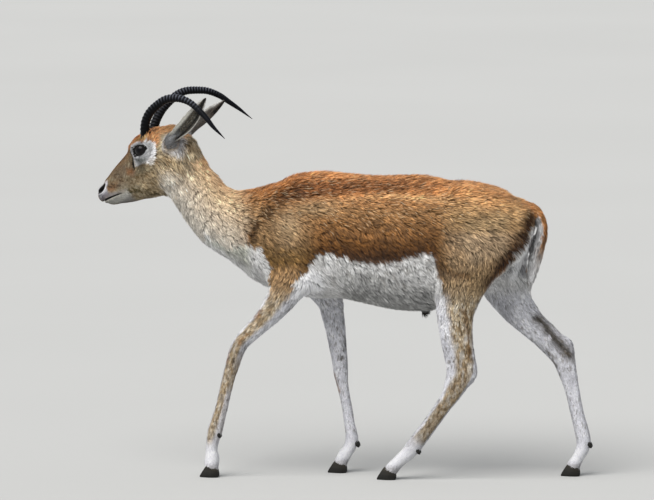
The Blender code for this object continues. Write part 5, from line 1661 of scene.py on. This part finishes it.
# ---------------------------------------------------------------- materials
def coat_material(name, rough, grain, low, high, bump_at, bump_by, stretch=(1, 1, 1), spec=0.3, sheen=0.0, clear=0.0,
                  second=None):
    """Painted colour, broken up by noise, with a fine bump and uneven roughness."""
    m = bpy.data.materials.new(name)
    m.use_nodes = True
    nt = m.node_tree
    bsdf = nt.nodes['Principled BSDF']
    col = nt.nodes.new('ShaderNodeAttribute')
    col.attribute_name = 'Col'
    tc = nt.nodes.new('ShaderNodeTexCoord')
    mp = nt.nodes.new('ShaderNodeMapping')
    mp.inputs['Scale'].default_value = stretch
    nt.links.new(tc.outputs['Object'], mp.inputs['Vector'])
    n1 = nt.nodes.new('ShaderNodeTexNoise')
    n1.inputs['Scale'].default_value = grain
    n1.inputs['Detail'].default_value = 4
    n1.inputs['Roughness'].default_value = 0.65
    nt.links.new(mp.outputs['Vector'], n1.inputs['Vector'])
    rng1 = nt.nodes.new('ShaderNodeMapRange')
    rng1.inputs['From Min'].default_value = 0.25
    rng1.inputs['From Max'].default_value = 0.75
    rng1.inputs['To Min'].default_value = low
    rng1.inputs['To Max'].default_value = high
    nt.links.new(n1.outputs['Fac'], rng1.inputs['Value'])
    mul = nt.nodes.new('ShaderNodeVectorMath')
    mul.operation = 'SCALE'
    nt.links.new(col.outputs['Color'], mul.inputs[0])
    nt.links.new(rng1.outputs['Result'], mul.inputs['Scale'])
    nt.links.new(mul.outputs['Vector'], bsdf.inputs['Base Color'])
    n2 = nt.nodes.new('ShaderNodeTexNoise')
    n2.inputs['Scale'].default_value = bump_at
    n2.inputs['Detail'].default_value = 3
    nt.links.new(mp.outputs['Vector'], n2.inputs['Vector'])
    bp = nt.nodes.new('ShaderNodeBump')
    bp.inputs['Strength'].default_value = bump_by
    bp.inputs['Distance'].default_value = 0.0006
    nt.links.new(n2.outputs['Fac'], bp.inputs['Height'])
    nt.links.new(bp.outputs['Normal'], bsdf.inputs['Normal'])
    r2 = nt.nodes.new('ShaderNodeMapRange')
    r2.inputs['To Min'].default_value = rough - 0.08
    r2.inputs['To Max'].default_value = rough + 0.08
    nt.links.new(n1.outputs['Fac'], r2.inputs['Value'])
    nt.links.new(r2.outputs['Result'], bsdf.inputs['Roughness'])
    bsdf.inputs['Specular IOR Level'].default_value = spec
    bsdf.inputs['Sheen Weight'].default_value = sheen
    bsdf.inputs['Sheen Roughness'].default_value = 0.5
    bsdf.inputs['Coat Weight'].default_value = clear
    bsdf.inputs['Coat Roughness'].default_value = 0.04
    return m


HAIR = coat_material('hair', 0.62, 420, 0.86, 1.14, 1500, 0.25, spec=0.22, sheen=0.06)
SKIN = coat_material('under_coat', 0.70, 330, 0.78, 1.16, 900, 0.55, spec=0.2)
EYE = coat_material('eye_wet', 0.16, 240, 0.8, 1.2, 400, 0.02, spec=0.14, clear=0.08)
HORN = coat_material('horn', 0.42, 160, 0.70, 1.30, 700, 0.35, spec=0.08)
HOOF = coat_material('hoof', 0.50, 120, 0.72, 1.28, 500, 0.45, stretch=(1, 1, 3), spec=0.2)

skin.data.materials.append(SKIN)
for c in COATS:
    c.data.materials.append(HAIR)


# ---------------------------------------------------------------- eyes
def grid_object(name, rings, rgb, mat, caps=True):
    v, f = loft(rings, caps)
    ob = new_object(name, np.array(v) + SHIFT, f)
    faces_out(ob)
    smooth_shade(ob)
    put_colours(ob, rgb)
    ob.data.materials.append(mat)
    return ob


def eyeball(sg, name, rows=56, cols=72):
    out, al, up = eye_axes(sg)
    rings, rgb = [], []
    for j in range(rows):
        t = 0.012 + (math.pi - 0.024) * j / (rows - 1)
        ring = []
        for i in range(cols):
            a = 2 * math.pi * i / cols
            d = out * math.cos(t) + (al * math.cos(a) + up * math.sin(a)) * math.sin(t)
            arc = t * EYE_R
            u, v = arc * math.cos(a), arc * math.sin(a)
            r = EYE_R * 0.992 + 0.55 * math.exp(-(arc / 9.0) ** 2)
            ring.append((EYES[sg] + d * r) * MM)
            pupil = math.hypot(u / 8.2, v / 5.0)
            k = min(max((pupil - 0.85) / 0.3, 0), 1)
            c = srgb(5, 5, 8) * (1 - k) + srgb(19, 15, 17) * k
            k = min(max((arc - 13.5) / 2.0, 0), 1)
            c = c * (1 - k) + srgb(10, 8, 9) * k
            rgb.append(c)
        rings.append(ring)
    return grid_object(name, rings, np.array(rgb), EYE)


PIECES = [(eyeball(1, 'eyeball_l'), 'eye_l'), (eyeball(-1, 'eyeball_r'), 'eye_r')]


# ---------------------------------------------------------------- horns
def horn(name, rows, sides=30):
    c = curve_through(rows, 24)
    seg = np.linalg.norm(np.diff(c[:, :3], axis=0), axis=1)
    s = np.concatenate([[0], np.cumsum(seg)])
    at = np.arange(0, s[-1], 0.75)
    c = np.stack([np.interp(at, s, c[:, i]) for i in range(4)], axis=1)
    whole = s[-1]
    t = np.gradient(c[:, :3], axis=0)
    t /= np.linalg.norm(t, axis=1)[:, None]
    mid = np.array([c[:, 0].mean(), c[:, 1].mean(), c[:, 2].min() + 15])
    side = np.cross(t, c[:, :3] - mid)
    side /= np.linalg.norm(side, axis=1)[:, None]
    away = np.cross(side, t)
    away *= np.sign(np.einsum('ij,ij->i', away, c[:, :3] - mid))[:, None]
    part = at / whole
    pitch = (9.0 if name.endswith('l') else 7.6) - 1.2 * part
    phase = np.cumsum(0.75 / pitch)
    crest = (0.5 + 0.5 * np.cos(2 * math.pi * phase)) ** 1.8
    fade = step(0.74, 0.60, part) * step(0.0, 0.03, part)
    rings, rgb = [], []
    for j in range(len(at)):
        ring = []
        for i in range(sides):
            a = 2 * math.pi * i / sides
            outward = math.cos(a)
            strong = 0.55 + 0.45 * max(outward, -0.3)
            wob = 0.12 * math.sin(3 * a + at[j] * 0.11) + 0.08 * math.sin(5 * a - at[j] * 0.07)
            r = c[j, 3] * (1 - 0.07 * fade[j]) + 1.25 * crest[j] * fade[j] * strong * min(c[j, 3] / 9.0, 1.0) - 0.25 + wob
            r = max(r, 0.35)
            ring.append((c[j, :3] + (away[j] * math.cos(a) + side[j] * math.sin(a)) * r) * MM)
            # pale ring crests: worn horn, and a painted highlight strongest on the outward side
            pale = crest[j] ** 2.0 * fade[j] * max(0.0, min(1.0, outward * 0.9 + 0.30)) * min(1.0, 0.12 + 0.88 * (part[j] / 0.45) ** 1.5)
            wear_and_glint = 0.5 + 0.5 * math.sin(at[j] * 1.7 + 3 * a)
            pale *= 0.6 + 0.4 * wear_and_glint
            base = srgb(9, 8, 9) * (1 - part[j]) + srgb(15, 17, 22) * part[j]
            # painted shade: the grooves between the rings are darker
            groove_shade = 1 - 0.35 * (1 - crest[j]) * fade[j]
            rgb.append(base * groove_shade * (1 - pale * 0.8) + srgb(112, 116, 128) * pale * 0.8)
        rings.append(ring)
    return grid_object(name, rings, np.array(rgb), HORN)


PIECES += [(horn('horn_ringed_l', HORN_L), 'horn_l'), (horn('horn_ringed_r', HORN_R), 'horn_r')]


# ---------------------------------------------------------------- hooves and dewclaws
def claw(foot, side, n=30):
    fx, fy = FEET[foot]
    inner = -side
    rings, rgb = [], []
    rows = [(0.0, 0.0, -22.8, 20.4, 8.0), (0.4, 0.4, -23.5, 21.0, 8.6), (3, 3, -23.9, 21.7, 9.3), (7, 6, -21.5, 21.8, 9.4),
            (11, 8.6, -18.6, 21.7, 9.3), (15, 11, -15.6, 21.4, 9.25), (19, 13.2, -13.0, 21.0, 9.1),
            (23, 15.5, -10.2, 20.4, 8.9), (27, 17.8, -7.4, 19.5, 8.7), (30.2, 19.6, -5.0, 18.6, 8.5), (30.8, 20.0, -3.0, 17.0, 7.2)]
    for j, (zf, zh, toe, heel, w) in enumerate(rows):
        ring = []
        grow = 0.14 * math.sin(zf * 1.9)
        for i in range(n):
            t = 2 * math.pi * i / n
            c, s = math.cos(t), math.sin(t)
            x = (toe + heel) / 2 + (heel - toe) / 2 * c
            k = (1 - c) / 2
            y = (w - 0.1 + grow) * math.copysign(abs(s) ** 0.9, s) * (1 - 0.72 * k ** 2.2) * (1.0 if s * inner < 0 else 0.96)
            y += inner * 1.5 * k ** 2 * (toe / -24.0)
            z = zf + (zh - zf) * (x + 4.5) / 23.0 if zf > 3 else zf
            ring.append(np.array([fx + x, fy + side * 10.1 + y, z]) * MM)
            shade = 0.75 + 0.5 * zf / 31
            rgb.append((srgb(33, 32, 29) * shade + srgb(96, 86, 70) * 0.25 * (zf / 31) ** 3) * (0.9 + 0.1 * math.sin(zf * 2.2)))
        rings.append(ring)
    end = 'out' if side * (1 if foot[1] == 'r' else -1) > 0 else 'in'
    return grid_object('claw_%s_%s' % (foot, end), rings, np.array(rgb), HOOF), 'hoof_%s_%s' % (foot, end)


def dewclaw(foot, side, n=16):
    x, y, z = FETLOCK[foot]
    at = np.array([x, y + side * 9.5, z])
    ax = unit((0.55, side * 0.25, -0.8))
    ay = unit(np.cross((0, 1, 0), ax))
    az = np.cross(ax, ay)
    rings, rgb = [], []
    for j in range(13):
        t = math.pi * (j + 0.35) / 12.7
        ring = []
        for i in range(n):
            a = 2 * math.pi * i / n
            k = math.sin(t) * (1 - 0.22 * (1 + math.cos(t)) / 2)
            ring.append((at + ax * 9.3 * math.cos(t) + ay * 5.6 * k * math.cos(a) + az * 5.8 * k * math.sin(a)) * MM)
            rgb.append(srgb(28, 27, 24) * (0.85 + 0.3 * j / 12))
        rings.append(ring)
    end = 'out' if side * (1 if foot[1] == 'r' else -1) > 0 else 'in'
    return grid_object('back_claw_%s_%s' % (foot, end), rings, np.array(rgb), HOOF), 'dewclaw_%s_%s' % (foot, end)


for foot in FEET:
    for side in (-1, 1):
        PIECES += [claw(foot, side), dewclaw(foot, side)]
clock('hard parts made')

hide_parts('head', 'neck', 'chest', 'barrel', 'hindquarters', 'tail', 'ear_l', 'ear_r',
            *['leg_%s_%s' % (a, b) for a in FEET for b in ('upper', 'cannon', 'pastern')])
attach(skin, 'root')
for c in COATS:
    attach(c, 'root')
for ob, node in PIECES:
    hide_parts(node)
    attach(ob, 'root')

# ---------------------------------------------------------------- stage, light, camera
bpy.ops.mesh.primitive_plane_add(size=160, location=(0, 0, 0))
floor = bpy.context.object
floor.name = 'floor'
m = bpy.data.materials.new('floor')
m.use_nodes = True
nt = m.node_tree
nz = nt.nodes.new('ShaderNodeTexNoise')
nz.inputs['Scale'].default_value = 0.6
rp = nt.nodes.new('ShaderNodeValToRGB')
rp.color_ramp.elements[0].color = (0.47, 0.47, 0.46, 1)
rp.color_ramp.elements[1].color = (0.50, 0.50, 0.49, 1)
tc = nt.nodes.new('ShaderNodeTexCoord')
nt.links.new(tc.outputs['Object'], nz.inputs['Vector'])
nt.links.new(nz.outputs['Fac'], rp.inputs['Fac'])
nt.links.new(rp.outputs['Color'], nt.nodes['Principled BSDF'].inputs['Base Color'])
nt.nodes['Principled BSDF'].inputs['Roughness'].default_value = 0.9
nt.nodes['Principled BSDF'].inputs['Specular IOR Level'].default_value = 0.1
floor.data.materials.append(m)

world = bpy.data.worlds.new('studio')
bpy.context.scene.world = world
world.use_nodes = True
world.node_tree.nodes['Background'].inputs['Color'].default_value = (0.93, 0.96, 1.0, 1)
world.node_tree.nodes['Background'].inputs['Strength'].default_value = 0.52


def sun(name, at, energy, angle, colour):
    li = bpy.data.lights.new(name, 'SUN')
    li.energy = energy
    li.angle = math.radians(angle)
    li.color = colour
    ob = bpy.data.objects.new(name, li)
    bpy.context.scene.collection.objects.link(ob)
    ob.rotation_euler = (-Vector(at)).to_track_quat('-Z', 'Y').to_euler()
    return ob


sun('key', (-0.35, -0.62, 0.95), 3.5, 50, (1.0, 0.985, 0.96))

AZ, EL = math.radians(6), math.radians(6)
R = Vector((math.cos(AZ), math.sin(AZ), 0))
P = Vector((-math.sin(AZ) * math.sin(EL), math.cos(AZ) * math.sin(EL), math.cos(EL)))
BACK = Vector((math.sin(AZ) * math.cos(EL), -math.cos(AZ) * math.cos(EL), math.sin(EL)))
FAR = 16.0
cam = bpy.data.objects.new('camera', bpy.data.cameras.new('camera'))
bpy.context.scene.collection.objects.link(cam)
bpy.context.scene.camera = cam
cam.data.sensor_width = 36
cam.data.lens = 36 * FAR / 1.5696
cam.data.clip_end = 300
cam.data.dof.use_dof = False
look = R * -0.0456 + P * 0.5412 + Vector(SHIFT)
rot = Matrix((R, P, BACK)).transposed().to_4x4()
cam.matrix_world = Matrix.Translation(look + BACK * FAR) @ rot
bpy.context.scene.view_settings.view_transform = 'Standard'
bpy.context.scene.view_settings.look = 'None'

bpy.context.view_layer.update()
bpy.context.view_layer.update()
clock('scene ready')
